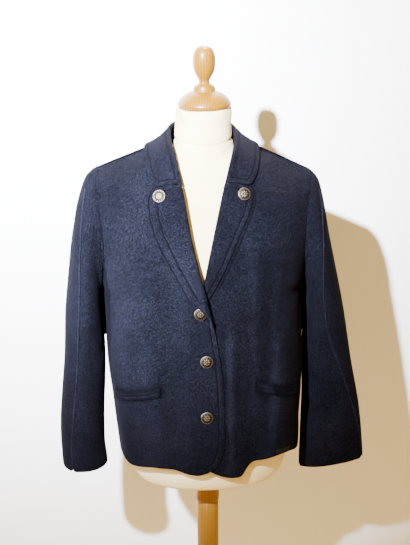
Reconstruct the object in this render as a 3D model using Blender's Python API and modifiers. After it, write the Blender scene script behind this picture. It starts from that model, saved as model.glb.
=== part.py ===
"""Boiled-wool jacket, worn buttoned, on a limbless dress form that stands on a round wooden foot.

Metres, +Z up. The origin is under the foot, on the axis of the pole, and the jacket's front faces -Y.
Every piece of cloth is an open patch, laid out along sections of the garment, that Solidify turns into
a wall. The jacket buttons right over left, so the front at -X lies on the one at +X.
"""
import math

import bmesh
import bpy
import numpy as np
from mathutils import Vector
from mathutils.bvhtree import BVHTree

WALL = 0.0030            # boiled wool
SEAM = 0.0003            # between two pieces that are sewn together
CONVEX_SEAM = 0.0015     # the same, where the walls lean together on the inside
SHOULDER_SEAM = 0.0028   # the same, along the shoulders, where they lean more
LAID_ON = 0.0007         # between a piece and the cloth that it lies on
NECKLINE_CLEAR = 0.0024  # from the middle of the collar's wall to the edge of a front or the back
SLEEVE_SEAM = 0.0022     # along the overarm and underarm seams, where the cloth turns sharply
STRIP_CLEAR = 0.0017     # between a narrow strip and the panel that curves under it
TAB_CLEAR = 0.0010       # the same, under the short tab
OVERLAP_LIFT = 0.0050    # of the front on top, from the one below it
CROSSING_LIFT = 0.0085   # more of it where it passes over the lapel of the one below
CROSSING_Z = 1.012
CROSSING_SPAN = 0.050
LIFT_FROM_X = -0.078     # the lift grows from here towards the front edge
LIFT_FULL_X = -0.034

UNDERARM_Z = 1.000
UNDERARM_X = {-1: -0.1950, 1: 0.1850}
TIP = {-1: (-0.2060, 1.2270), 1: (0.1955, 1.2175)}   # x and z of the shoulder's tip
ARMHOLE_HALF_DEPTH = 0.062
ARMHOLE_Y = 0.005
ARMHOLE_INSET = 0.008                                # its front and back run nearer the middle
NECK_POINT = (0.0745, 0.0040, 1.2735)                # beside the middle, y, z: end of the shoulder seam
BACK_NECK = (0.0, 0.0650, 1.2680)

CORNER_WIDTH = 0.050                                 # rounded corner at the foot of each front
CORNER_HEIGHT = 0.074
CORNER_FROM = 0.25                                   # share of a row's width that stays as it is
GORGE_Z = 1.2095                                     # top edge of the lapels
HEM_Z = 0.6730


class Table:
    """Rows of sizes under named columns, read between the rows along a smooth curve."""

    def __init__(self, columns, rows):
        self.columns = columns.split()
        self.rows = np.array(rows, dtype=float)

    def at(self, name, key):
        keys = self.rows[:, 0]
        values = self.rows[:, self.columns.index(name)]
        steps = np.diff(values) / np.diff(keys)
        slopes = np.concatenate(([steps[0]], (steps[1:] + steps[:-1]) / 2, [steps[-1]]))
        turns = np.concatenate(([False], steps[1:] * steps[:-1] <= 0, [False]))
        slopes[turns] = 0.0
        key = min(max(key, keys[0]), keys[-1])
        i = min(max(int(np.searchsorted(keys, key)) - 1, 0), len(keys) - 2)
        span = keys[i + 1] - keys[i]
        t = (key - keys[i]) / span
        return float(
            values[i] * (1 + 2 * t) * (1 - t) ** 2
            + slopes[i] * span * t * (1 - t) ** 2
            + values[i + 1] * t * t * (3 - 2 * t)
            + slopes[i + 1] * span * t * t * (t - 1))


# The jacket's body, by height: the side seams, and the middle of the front and back
BODY = Table("z left right side_y front_y back_y", (
    (0.660, -0.1675, 0.1750, 0.000, -0.1440, 0.1160),
    (0.700, -0.1715, 0.1775, 0.000, -0.1450, 0.1170),
    (0.750, -0.1770, 0.1775, 0.000, -0.1455, 0.1180),
    (0.800, -0.1818, 0.1805, 0.000, -0.1455, 0.1185),
    (0.850, -0.1878, 0.1820, 0.001, -0.1450, 0.1190),
    (0.900, -0.1900, 0.1825, 0.002, -0.1440, 0.1190),
    (0.950, -0.1915, 0.1830, 0.003, -0.1420, 0.1190),
    (1.000, -0.1950, 0.1850, 0.005, -0.1380, 0.1185),
    (1.060, -0.1980, 0.1880, 0.005, -0.1300, 0.1170),
    (1.120, -0.2000, 0.1910, 0.005, -0.1150, 0.1130),
    (1.180, -0.2040, 0.1940, 0.005, -0.0970, 0.1030),
    (1.230, -0.2060, 0.1955, 0.005, -0.0770, 0.0860),
    (1.280, -0.2060, 0.1955, 0.005, -0.0400, 0.0620),
))

# Rows of the front and back: the height at the side seam or armhole, and in the middle
LEVELS = Table("side_z mid_z", (
    (0.752, 0.752), (0.790, 0.790), (0.832, 0.832), (0.874, 0.874), (0.905, 0.905), (0.928, 0.930),
    (0.941, 0.944), (0.952, 0.956), (0.962, 0.967), (0.971, 0.978), (0.980, 0.989), (0.990, 1.002),
    (1.000, 1.018), (1.014, 1.040), (1.036, 1.066), (1.066, 1.096), (1.098, 1.126), (1.130, 1.155),
    (1.160, 1.183), (1.187, 1.2095), (1.190, 1.2130), (1.2080, 1.2380), (1.2200, 1.2600), (1.2270, 1.2735),
))
FIRST_TURNED_ROW_Z = 0.930
LAST_TURNED_ROW_Z = 1.2075

# How each row leaves the side seam or armhole: degrees from straight across, and how far its curve is led
ROW_LEAN = Table("z lean_deg side_reach mid_reach", (
    (0.660, 86.0, 0.62, 0.62),
    (0.930, 84.0, 0.60, 0.60),
    (1.000, 78.0, 0.55, 0.58),
    (1.020, 72.0, 0.47, 0.56),
    (1.060, 62.0, 0.43, 0.52),
    (1.120, 47.0, 0.40, 0.45),
    (1.180, 29.0, 0.36, 0.37),
    (1.2270, 0.0, 0.33, 0.33),
))

# Front edges below the lapels
TOP_EDGE_X = 0.0195
UNDER_EDGE_X = -0.0300
FRONT_EDGE = {
    -1: Table("z x", ((0.66, TOP_EDGE_X), (0.80, TOP_EDGE_X), (0.88, 0.0148), (0.93, 0.0088))),
    1: Table("z x", ((0.66, UNDER_EDGE_X), (0.93, UNDER_EDGE_X))),
}

# The lower edge, across the front
HEM = Table("x z", (
    (-0.168, 0.6750), (-0.150, 0.6775), (-0.130, 0.6805), (-0.109, 0.6860), (-0.087, 0.6865),
    (-0.0645, 0.6815), (-0.042, 0.6735), (-0.031, 0.6711), (-0.020, 0.6720), (0.014, 0.6640),
    (0.037, 0.6660), (0.048, 0.6668), (0.059, 0.6710), (0.070, 0.6870), (0.082, 0.6930),
    (0.104, 0.6965), (0.127, 0.7035), (0.145, 0.7020), (0.165, 0.6910), (0.176, 0.6780),
))

# Largest folds of the body: where each is at its upper and lower end, its half width and its depth,
# which is negative in a trough
FOLD_COLUMNS = "top_x foot_x top_z foot_z half_width depth"
FRONT_FOLDS = Table(FOLD_COLUMNS, (
    (0.078, 0.076, 1.090, 0.640, 0.017, -0.0085),
    (0.052, 0.040, 1.060, 0.640, 0.017, 0.0045),
    (0.122, 0.122, 1.050, 0.640, 0.021, 0.0040),
    (-0.150, -0.128, 1.020, 0.640, 0.020, -0.0030),
    (-0.100, -0.085, 0.960, 0.640, 0.024, 0.0030),
))
BACK_FOLDS = Table(FOLD_COLUMNS, (
    (-0.120, -0.105, 1.060, 0.640, 0.022, -0.0060),
    (-0.055, -0.040, 0.980, 0.640, 0.026, 0.0045),
    (0.030, 0.035, 0.960, 0.640, 0.024, -0.0050),
    (0.118, 0.098, 1.080, 0.640, 0.024, -0.0065),
))
FOLD_FADE = 0.55         # share of a fold's height above which it dies away
FACES_FRONT_Y = (0.020, 0.090)       # how far in front of the middle the folds begin, and are whole
FACES_BACK_Y = (0.020, 0.080)
SWEEP_ABOVE = 0.060      # the sweep of the hem dies away this far above the first straight row

# The turned lapels: the roll as seen from the front, the width of cloth beyond the turn, how far the cloth
# has turned there, and the length of cloth in the turn
LAPEL_COLUMNS = "z roll_x width turn_deg arc"
LAPELS = {
    -1: Table(LAPEL_COLUMNS, (
        (0.930, 0.0088, 0.0020, 0, 0.0030),
        (0.944, 0.0070, 0.0030, 8, 0.0050),
        (0.956, 0.0046, 0.0038, 26, 0.0070),
        (0.967, 0.0020, 0.0044, 58, 0.0086),
        (0.978, -0.0008, 0.0062, 100, 0.0102),
        (0.989, -0.0034, 0.0105, 142, 0.0120),
        (1.002, -0.0058, 0.0160, 170, 0.0128),
        (1.018, -0.0095, 0.0217, 180, 0.0118),
        (1.040, -0.0152, 0.0277, 180, 0.0112),
        (1.066, -0.0210, 0.0366, 180, 0.0106),
        (1.096, -0.0280, 0.0454, 180, 0.0106),
        (1.126, -0.0342, 0.0526, 180, 0.0106),
        (1.155, -0.0388, 0.0557, 180, 0.0106),
        (1.183, -0.0432, 0.0533, 180, 0.0106),
        (1.2095, -0.0475, 0.0451, 180, 0.0106))),
    1: Table(LAPEL_COLUMNS, (
        (0.930, -0.0302, 0.0016, 0, 0.0024),
        (0.956, -0.0304, 0.0030, 5, 0.0050),
        (0.967, -0.0302, 0.0038, 28, 0.0066),
        (0.978, -0.0290, 0.0038, 70, 0.0075),
        (0.989, -0.0265, 0.0048, 120, 0.0076),
        (1.002, -0.0230, 0.0080, 160, 0.0078),
        (1.018, -0.0182, 0.0152, 180, 0.0080),
        (1.040, -0.0128, 0.0220, 180, 0.0088),
        (1.066, -0.0070, 0.0297, 180, 0.0094),
        (1.096, 0.0000, 0.0368, 180, 0.0100),
        (1.126, 0.0072, 0.0429, 180, 0.0106),
        (1.155, 0.0143, 0.0501, 180, 0.0106),
        (1.183, 0.0213, 0.0528, 180, 0.0106),
        (1.2095, 0.0280, 0.0428, 180, 0.0106))),
}
LAPEL_CORNER = 0.011     # drop of its rounded top corner
LAPEL_CORNER_FROM = 0.55 # share of its width where the drop begins
LAPEL_LYING = WALL + LAID_ON + 0.0003
LYING_FROM_DEG = 105     # a lapel that has turned less than this stands free of the panel
LYING_FULL_DEG = 170
OVER_BUTTON = 0.0040     # the lapel's free edge is lifted where it covers part of the top button
COVERED_BUTTON_Z = 0.986
COVERED_SPAN = 0.0138
TURN_STEPS = (0.25, 0.50, 0.75, 1.00)      # points of a lapel's section, round the turn
WIDTH_STEPS = (0.22, 0.48, 0.76, 1.00)     # and across the width beyond it

# The collar, from the gorge at the front to the middle of the back: its seam on the neckline, the roll at
# its top and its outer edge, each as a distance beside the middle, a depth and a height
COLLAR = Table("station seam_d seam_y seam_z roll_d roll_y roll_z edge_d edge_y edge_z", (
    (0.0, 0.0450, -0.0800, 1.2152, 0.0395, -0.0900, 1.2130, 0.0850, -0.0870, 1.2152),
    (0.5, 0.0480, -0.0745, 1.2250, 0.0420, -0.0860, 1.2215, 0.0950, -0.0860, 1.2155),
    (1.0, 0.0540, -0.0650, 1.2400, 0.0458, -0.0790, 1.2370, 0.1005, -0.0780, 1.2250),
    (2.0, 0.0650, -0.0440, 1.2580, 0.0525, -0.0590, 1.2610, 0.1045, -0.0550, 1.2440),
    (3.0, 0.0715, -0.0210, 1.2685, 0.0575, -0.0340, 1.2755, 0.1055, -0.0270, 1.2580),
    (4.0, 0.0722, 0.0050, 1.2735, 0.0590, -0.0020, 1.2885, 0.1040, 0.0080, 1.2660),
    (5.0, 0.0630, 0.0340, 1.2730, 0.0535, 0.0310, 1.2980, 0.0890, 0.0500, 1.2660),
    (6.0, 0.0370, 0.0560, 1.2710, 0.0330, 0.0540, 1.3035, 0.0520, 0.0790, 1.2600),
    (7.0, 0.0000, 0.0630, 1.2705, 0.0000, 0.0620, 1.3050, 0.0000, 0.0880, 1.2570),
))
COLLAR_MIDDLE_X = {1.2100: -0.0090, 1.3100: -0.0040}
SHOULDER_STATION = 4.0   # where the collar meets the shoulder seam

# The sleeves, ring by ring from armhole to cuff: the outer and inner ends of the ring, its middle and half
# depth from front to back, and the angle of the overarm seam from the outer side towards the front
SLEEVE_COLUMNS = "ring out_x out_z in_x in_z mid_y half_depth seam_deg"
SLEEVES = {
    -1: Table(SLEEVE_COLUMNS, (
        (0, -0.2075, 1.2255, -0.1985, 0.9965, 0.0050, 0.0620, 5),
        (1, -0.2225, 1.2085, -0.1995, 0.9830, 0.0040, 0.0640, 26),
        (2, -0.2360, 1.1700, -0.1990, 0.9660, 0.0030, 0.0660, 44),
        (3, -0.2460, 1.1250, -0.1980, 0.9470, 0.0015, 0.0670, 56),
        (4, -0.2540, 1.0700, -0.1965, 0.9230, 0.0000, 0.0665, 64),
        (5, -0.2620, 0.9950, -0.1955, 0.8850, -0.0015, 0.0645, 68),
        (6, -0.2690, 0.9050, -0.1965, 0.8300, -0.0030, 0.0605, 70),
        (7, -0.2765, 0.8000, -0.2005, 0.7600, -0.0045, 0.0560, 67),
        (8, -0.2825, 0.7150, -0.2010, 0.6980, -0.0055, 0.0520, 60),
        (9, -0.2805, 0.6470, -0.1970, 0.6510, -0.0060, 0.0490, 54))),
    1: Table(SLEEVE_COLUMNS, (
        (0, 0.1969, 1.2160, 0.1884, 0.9930, 0.0050, 0.0620, 5),
        (1, 0.2118, 1.1985, 0.1900, 0.9790, 0.0040, 0.0640, 30),
        (2, 0.2208, 1.1640, 0.1898, 0.9620, 0.0030, 0.0660, 52),
        (3, 0.2290, 1.1220, 0.1888, 0.9430, 0.0015, 0.0675, 70),
        (4, 0.2392, 1.0680, 0.1878, 0.9190, 0.0000, 0.0660, 84),
        (5, 0.2524, 0.9950, 0.1872, 0.8850, -0.0020, 0.0610, 88),
        (6, 0.2690, 0.9050, 0.1862, 0.8330, -0.0045, 0.0520, 76),
        (7, 0.2858, 0.8050, 0.1850, 0.7650, -0.0075, 0.0420, 52),
        (8, 0.2982, 0.7200, 0.1830, 0.7000, -0.0100, 0.0350, 30),
        (9, 0.3045, 0.6490, 0.1800, 0.6325, -0.0120, 0.0310, 18))),
}

# Pocket welts, slanting down to the side seams, from the end near the buttons to the outer end
POCKETS = {-1: (-0.0965, 0.8460, -0.1725, 0.8240), 1: (0.0850, 0.8505, 0.1570, 0.8290)}
WELT_HEIGHT = 0.0165
WELT_THICKNESS = 0.0020
TAB = (0.1190, 0.7142, 0.1430, 0.7132)               # ends of the tab's upper edge: x, z, x, z
TAB_HEIGHT = 0.0080
TAB_THICKNESS = 0.0010

BUTTON_RADIUS = 0.0115
BUTTON_THICKNESS = 0.0034
BUTTONS = (
    ("button_front_1", -0.0205, 0.9865),
    ("button_front_2", -0.0100, 0.8945),
    ("button_front_3", -0.0105, 0.7865),
    ("button_lapel_right", -0.0893, 1.1925),
    ("button_lapel_left", 0.0640, 1.1930),
)

# The dress form's torso and neck: heights at the sides and in the middle, and its outline from above
FORM = Table("ring side_z front_z back_z half_width front_y back_y square middle_x", (
    (0.0, 0.6130, 0.6130, 0.6130, 0.0900, -0.0720, 0.0620, 2.2, 0.000),
    (0.5, 0.6165, 0.6165, 0.6165, 0.1160, -0.0930, 0.0800, 2.3, 0.000),
    (1.0, 0.6290, 0.6270, 0.6290, 0.1370, -0.1110, 0.0950, 2.4, 0.000),
    (1.5, 0.6520, 0.6480, 0.6520, 0.1500, -0.1230, 0.1040, 2.4, 0.000),
    (2.0, 0.7000, 0.7000, 0.7000, 0.1560, -0.1260, 0.1060, 2.4, 0.000),
    (3.0, 0.7900, 0.7900, 0.7900, 0.1440, -0.1120, 0.0960, 2.3, 0.000),
    (4.0, 0.8700, 0.8700, 0.8700, 0.1270, -0.0980, 0.0860, 2.2, 0.000),
    (5.0, 0.9500, 0.9500, 0.9500, 0.1400, -0.1140, 0.0940, 2.2, 0.000),
    (6.0, 1.0300, 1.0300, 1.0300, 0.1560, -0.1240, 0.1010, 2.3, 0.000),
    (7.0, 1.0900, 1.0950, 1.0950, 0.1640, -0.1120, 0.1030, 2.5, -0.001),
    (8.0, 1.1400, 1.1550, 1.1550, 0.1720, -0.0910, 0.0970, 2.8, -0.002),
    (9.0, 1.1725, 1.2050, 1.2050, 0.1760, -0.0755, 0.0810, 2.8, -0.004),
    (10.0, 1.1981, 1.2391, 1.2350, 0.1682, -0.0675, 0.0680, 2.3, -0.005),
    (10.5, 1.2135, 1.2500, 1.2460, 0.1400, -0.0620, 0.0610, 2.0, -0.005),
    (11.0, 1.2285, 1.2595, 1.2580, 0.1060, -0.0595, 0.0580, 1.9, -0.004),
    (11.5, 1.2460, 1.2685, 1.2700, 0.0740, -0.0575, 0.0560, 1.9, -0.004),
    (12.0, 1.2640, 1.2790, 1.2820, 0.0580, -0.0560, 0.0550, 2.0, -0.003),
    (13.0, 1.3000, 1.3050, 1.3070, 0.0525, -0.0530, 0.0530, 2.0, -0.003),
    (14.0, 1.3350, 1.3350, 1.3350, 0.0500, -0.0510, 0.0510, 2.0, -0.002),
))
FORM_TOP_Z = 1.3350

# Turned wood, as radius and height, each from its top down its outer side
CAP_PROFILE = (
    (0.0185, 1.3780), (0.0200, 1.3735), (0.0210, 1.3690), (0.0300, 1.3650), (0.0415, 1.3570),
    (0.0480, 1.3480), (0.0495, 1.3430), (0.0475, 1.3385), (0.0420, FORM_TOP_Z + SEAM),
)
FINIAL_PROFILE = (
    (0.0070, 1.4500), (0.0140, 1.4465), (0.0185, 1.4390), (0.0210, 1.4260), (0.0208, 1.4160),
    (0.0185, 1.4040), (0.0140, 1.3950), (0.0102, 1.3880), (0.0100, 1.3830), (0.0135, 1.3800),
    (0.0160, 1.3783),
)
POLE_TOP_Z = 0.6127
POLE_COLLAR_PROFILE = (
    (0.0205, POLE_TOP_Z), (0.0225, 0.6100), (0.0228, 0.5600), (0.0215, 0.5565), (0.0205, 0.5555),
)
POLE_PROFILE = (
    (0.0195, 0.5552), (0.0212, 0.5535), (0.0208, 0.4200), (0.0200, 0.2000), (0.0205, 0.0500),
    (0.0205, 0.0283),
)
FOOT_PROFILE = (
    (0.0300, 0.0280), (0.1100, 0.0250), (0.1660, 0.0200), (0.1735, 0.0165), (0.1760, 0.0110),
    (0.1750, 0.0040), (0.1715, 0.0000),
)

NAVY = (0.0130, 0.0200, 0.0480)
CREAM = (0.7700, 0.7000, 0.5700)
HONEY = (0.5600, 0.2200, 0.0700)
CHESTNUT = (0.3600, 0.1200, 0.0400)
PEWTER = (0.3600, 0.3400, 0.3000)
GREY_TAPE = (0.1500, 0.1500, 0.1700)


def material(name, colour, roughness, metallic=0.0):
    made = bpy.data.materials.new(name)
    made.use_nodes = True
    shader = made.node_tree.nodes["Principled BSDF"]
    shader.inputs["Base Color"].default_value = (*colour, 1.0)
    shader.inputs["Roughness"].default_value = roughness
    shader.inputs["Metallic"].default_value = metallic
    made.diffuse_color = (*colour, 1.0)
    return made


def add_object(name, mesh, collection, finish):
    piece = bpy.data.objects.new(name, mesh)
    piece.data.materials.append(finish)
    collection.objects.link(piece)
    return piece


def smooth_step(value, start, end):
    t = min(max((value - start) / (end - start), 0.0), 1.0)
    return t * t * (3 - 2 * t)


def fold_height(folds, x, z):
    """How far the folds push the cloth out at this place."""
    pushed = 0.0
    for top_x, foot_x, top_z, foot_z, half_width, depth in folds.rows:
        along = min(max((z - foot_z) / (top_z - foot_z), 0.0), 1.0)
        middle = foot_x + (top_x - foot_x) * along
        fade = 1.0 - smooth_step(along, FOLD_FADE, 1.0)
        pushed += depth * fade * math.exp(-((x - middle) / half_width) ** 2)
    return pushed


def bow(start, end, start_way, end_way, start_reach, end_reach, fractions):
    """Points on a cubic curve between two ends, at these fractions of its length."""
    start, end = np.array(start), np.array(end)
    span = np.linalg.norm(end - start)
    lead_in = start + np.array(start_way) * span * start_reach
    lead_out = end - np.array(end_way) * span * end_reach
    t = np.linspace(0.0, 1.0, 65)[:, None]
    curve = ((1 - t) ** 3 * start + 3 * t * (1 - t) ** 2 * lead_in
             + 3 * t * t * (1 - t) * lead_out + t ** 3 * end)
    gone = np.concatenate(([0.0], np.cumsum(np.linalg.norm(np.diff(curve, axis=0), axis=1))))
    gone /= gone[-1]
    return [np.array([np.interp(f, gone, curve[:, k]) for k in range(3)]) for f in fractions]


def armhole_point(side, z, facing):
    """A point of the armhole's seam; facing is -1 at the front and 1 at the back."""
    tip_x, tip_z = TIP[side]
    scaled = (z - UNDERARM_Z) / (TIP[-1][1] - UNDERARM_Z)
    height = UNDERARM_Z + scaled * (tip_z - UNDERARM_Z)
    half_depth = ARMHOLE_HALF_DEPTH * math.sqrt(max(0.0, 1 - (2 * scaled - 1) ** 2))
    x = UNDERARM_X[side] + (tip_x - UNDERARM_X[side]) * scaled
    x -= side * ARMHOLE_INSET * (half_depth / ARMHOLE_HALF_DEPTH) ** 2
    return np.array([x, ARMHOLE_Y + facing * max(half_depth, CONVEX_SEAM / 2), height])


def side_point(side, z, facing):
    """Where a row meets the side seam, or the armhole above it."""
    if z > UNDERARM_Z:
        return armhole_point(side, z, facing)
    name = "left" if side < 0 else "right"
    return np.array([BODY.at(name, z), BODY.at("side_y", z) + facing * CONVEX_SEAM / 2, z])


def collar_middle_x(z):
    (low, low_x), (high, high_x) = COLLAR_MIDDLE_X.items()
    return low_x + (high_x - low_x) * min(max((z - low) / (high - low), 0.0), 1.0)


def neckline_point(side, z):
    """The neckline of a front, from the gorge up to the shoulder seam."""
    stations = np.linspace(0.0, SHOULDER_STATION, 81)
    heights = [COLLAR.at("seam_z", s) for s in stations]
    station = float(np.interp(z, heights, stations))
    d = COLLAR.at("seam_d", station) + NECKLINE_CLEAR
    return np.array([collar_middle_x(z) + side * d, COLLAR.at("seam_y", station), z])


def overlap_lift(side, x, z):
    """The front on top is carried clear of the one below, and over its lapel where the two cross."""
    if side > 0:
        return 0.0
    crossing = CROSSING_LIFT * math.exp(-((z - CROSSING_Z) / CROSSING_SPAN) ** 2)
    return (OVERLAP_LIFT + crossing) * smooth_step(x, LIFT_FROM_X, LIFT_FULL_X)


def front_edge_x(side, z):
    """The panel's own edge: its front edge, and the roll of its lapel above the buttons."""
    if z < FIRST_TURNED_ROW_Z:
        return FRONT_EDGE[side].at("x", z)
    lapel = LAPELS[side]
    turn, radius = turn_of(lapel, z)
    if turn < math.pi / 2:
        beyond = (radius + WALL / 2) * math.sin(turn) + lapel.at("width", z) * math.cos(turn)
    else:
        beyond = radius + WALL / 2
    return lapel.at("roll_x", z) + side * beyond


def turn_of(lapel, z):
    """How far a lapel has turned over at this height, and the radius of the turn."""
    turn = math.radians(max(lapel.at("turn_deg", z), 1.0))
    return turn, lapel.at("arc", z) / turn


COLUMNS = 14
MIDDLE_RISE = 0.35       # of a row's whole rise, how much of it is still left where the row ends
NECK_TURN_FROM_Z = GORGE_Z - 0.020   # rows from here up turn towards the neckline


def front_rows(side):
    """Rows of the front, each from the side seam or armhole to the front edge, roll or neckline."""
    levels = [(float(a), float(b)) for a, b in LEVELS.rows]
    first_z = levels[0][0]
    corner = [1.0 - math.cos(math.radians(a)) for a in (0.0, 26.0, 48.0, 70.0)]
    levels = [(HEM_Z + (first_z - HEM_Z) * c, HEM_Z + (first_z - HEM_Z) * c) for c in corner] + levels
    fractions = np.linspace(0.0, 1.0, COLUMNS)
    rows = []
    for side_z, mid_z in levels:
        start = side_point(side, side_z, -1)
        if mid_z > GORGE_Z + 0.001:
            end = neckline_point(side, mid_z)
        else:
            end = np.array([front_edge_x(side, mid_z), BODY.at("front_y", mid_z), mid_z])
        if side_z >= TIP[-1][1] - 0.0001:
            tip = np.array([TIP[side][0], ARMHOLE_Y - SHOULDER_SEAM / 2, TIP[side][1]])
            neck = np.array([end[0], NECK_POINT[1] - SHOULDER_SEAM / 2, NECK_POINT[2]])
            rows.append([tip + (neck - tip) * f for f in fractions])
            continue
        lean = math.radians(ROW_LEAN.at("lean_deg", side_z))
        inward = -side
        start_way = (inward * math.cos(lean), -math.sin(lean), 0.0)
        across = end - start
        level_way = np.array([inward, 0.0, MIDDLE_RISE * across[2] / abs(across[0])])
        neck_turn = smooth_step(mid_z, NECK_TURN_FROM_Z, NECK_POINT[2])
        end_way = (1 - neck_turn) * level_way + neck_turn * across / np.linalg.norm(across)
        end_way /= np.linalg.norm(end_way)
        points = bow(start, end, start_way, end_way, ROW_LEAN.at("side_reach", side_z),
                     ROW_LEAN.at("mid_reach", side_z), fractions)
        if side_z < HEM_Z + CORNER_HEIGHT:
            round_corner(side, points, side_z)
        rows.append([shape_front(side, p, side_z, first_z) for p in points])
    return rows


def shape_front(side, point, level, first_z):
    """Folds, the overlap of the two fronts and the sweep of the hem."""
    x, y, z = point
    facing = smooth_step(-y, *FACES_FRONT_Y)
    y -= facing * fold_height(FRONT_FOLDS, x, z)
    y -= overlap_lift(side, x, z)
    drop = 1.0 - smooth_step(level, HEM_Z, first_z + SWEEP_ABOVE)
    z += (HEM.at("z", x) - HEM_Z) * drop
    return np.array([x, y, z])


def round_corner(side, row, level):
    """A lower row falls short of the front edge, along a quarter of an ellipse."""
    gone = (level - HEM_Z) / CORNER_HEIGHT
    short = CORNER_WIDTH * (1 - math.sqrt(max(0.0, 1 - (1 - gone) ** 2)))
    start_x, end_x = row[0][0], row[-1][0]
    for point in row:
        share = (point[0] - start_x) / (end_x - start_x)
        point[0] += side * short * smooth_step(share, CORNER_FROM, 1.0)


def lapel_rows(side, rows, under):
    """The part of each front that turns over its roll and lies back on the panel."""
    lapel = LAPELS[side]
    turned = []
    for row in rows:
        z = row[-1][2]
        if z < FIRST_TURNED_ROW_Z - 0.001 or z > GORGE_Z + 0.001:
            turned.append(None)
        else:
            turned.append(lapel_section(side, row[-1], lapel, under))
    return turned


def lapel_section(side, place, lapel, under):
    """One section: an arc over the roll, then the width that lies back."""
    z = place[2]
    turn, radius = turn_of(lapel, z)
    width = lapel.at("width", z)
    section = []
    for step in TURN_STEPS:
        angle = turn * step
        section.append(place + np.array(
            [-side * radius * math.sin(angle), -radius * (1 - math.cos(angle)), 0.0]))
    last = section[-1]
    lies = smooth_step(math.degrees(turn), LYING_FROM_DEG, LYING_FULL_DEG)
    covers_button = math.exp(-((z - COVERED_BUTTON_Z) / COVERED_SPAN) ** 2) if side < 0 else 0.0
    for share in WIDTH_STEPS:
        point = last + np.array(
            [-side * math.cos(turn) * width * share, -math.sin(turn) * width * share, 0.0])
        if z > LAST_TURNED_ROW_Z:
            point[2] = z - LAPEL_CORNER * smooth_step(share, LAPEL_CORNER_FROM, 1.0)
        inside_x = side * max(side * point[0], side * place[0])
        on_panel = seen_from_front(under, inside_x, point[2])[0]
        above = max(0.0, 2 * radius - LAPEL_LYING) * (1 - smooth_step(share, 0.0, 0.9))
        laid_y = on_panel.y - LAPEL_LYING - above - OVER_BUTTON * covers_button
        point[1] += (laid_y - point[1]) * lies
        section.append(point)
    return section


def wall_from_rows(name, rows, collection, finish, turned=None, thickness=WALL):
    """A wall of cloth on a grid of rows, with the turned part of a row joined on at its end.

    The first turned part grows as a fan out of the last point of the row below it.
    """
    mesh = bpy.data.meshes.new(name)
    cloth = bmesh.new()
    grid = [[cloth.verts.new(tuple(p)) for p in row] for row in rows]
    if turned:
        for corners, section in zip(grid, turned):
            if section:
                corners.extend(cloth.verts.new(tuple(p)) for p in section)
    for lower, upper in zip(grid, grid[1:]):
        for i in range(min(len(lower), len(upper)) - 1):
            cloth.faces.new((lower[i], lower[i + 1], upper[i + 1], upper[i]))
        for i in range(len(lower) - 1, len(upper) - 1):
            cloth.faces.new((lower[-1], upper[i + 1], upper[i]))
    face_outwards(cloth)
    cloth.to_mesh(mesh)
    cloth.free()
    mesh.shade_smooth()
    piece = add_object(name, mesh, collection, finish)
    wall = piece.modifiers.new("wall", "SOLIDIFY")
    wall.thickness = thickness
    wall.offset = 0.0
    return piece


def face_outwards(cloth):
    """Points all faces one way, away from the axis of the form."""
    bmesh.ops.recalc_face_normals(cloth, faces=cloth.faces[:])
    outward = sum(f.normal.x * f.calc_center_median().x + f.normal.y * f.calc_center_median().y
                  for f in cloth.faces)
    if outward < 0:
        bmesh.ops.reverse_faces(cloth, faces=cloth.faces[:])


def surface_tree(rows):
    """The middle surface of a panel, with both splits of each four-sided face, to lay pieces on."""
    width = len(rows[0])
    points = [tuple(p) for row in rows for p in row]
    faces = []
    for j in range(len(rows) - 1):
        for i in range(width - 1):
            a, b = j * width + i, j * width + i + 1
            c, d = b + width, a + width
            faces += [(a, b, c), (a, c, d), (a, b, d), (b, c, d)]
    return BVHTree.FromPolygons(points, faces)


def seen_from_front(tree, x, z):
    """The place of a surface straight behind this point of the front view, and its normal."""
    place, normal, _, _ = tree.ray_cast(Vector((x, -1.0, z)), Vector((0, 1, 0)))
    if place is None:
        place, normal, _, _ = tree.find_nearest(Vector((x, -0.10, z)))
    return place, normal if normal.y < 0 else -normal


BACK_HEM_LEVELS = (HEM_Z, 0.692, 0.720)
ROWS_LEFT_OUT = (0.941, 0.962, 0.980, 0.990)   # the back needs fewer rows than the lapels do
BACK_NECK_DROP = 0.0085  # the middle of the back's neckline lies this far below its ends
BACK_NECK_FROM_Z = 1.180
BACK_NECK_OUT = 0.0022
MIDDLE_SHIFT_Z = (0.800, 1.200)      # the middle leans to the wearer's right between these heights
BACK_SHOULDER_COLUMNS = 5
BACK_NECK_COLUMNS = 4
NECK_SHARE = 0.62       # of half the back's width, from the side to where the neck begins


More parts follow.
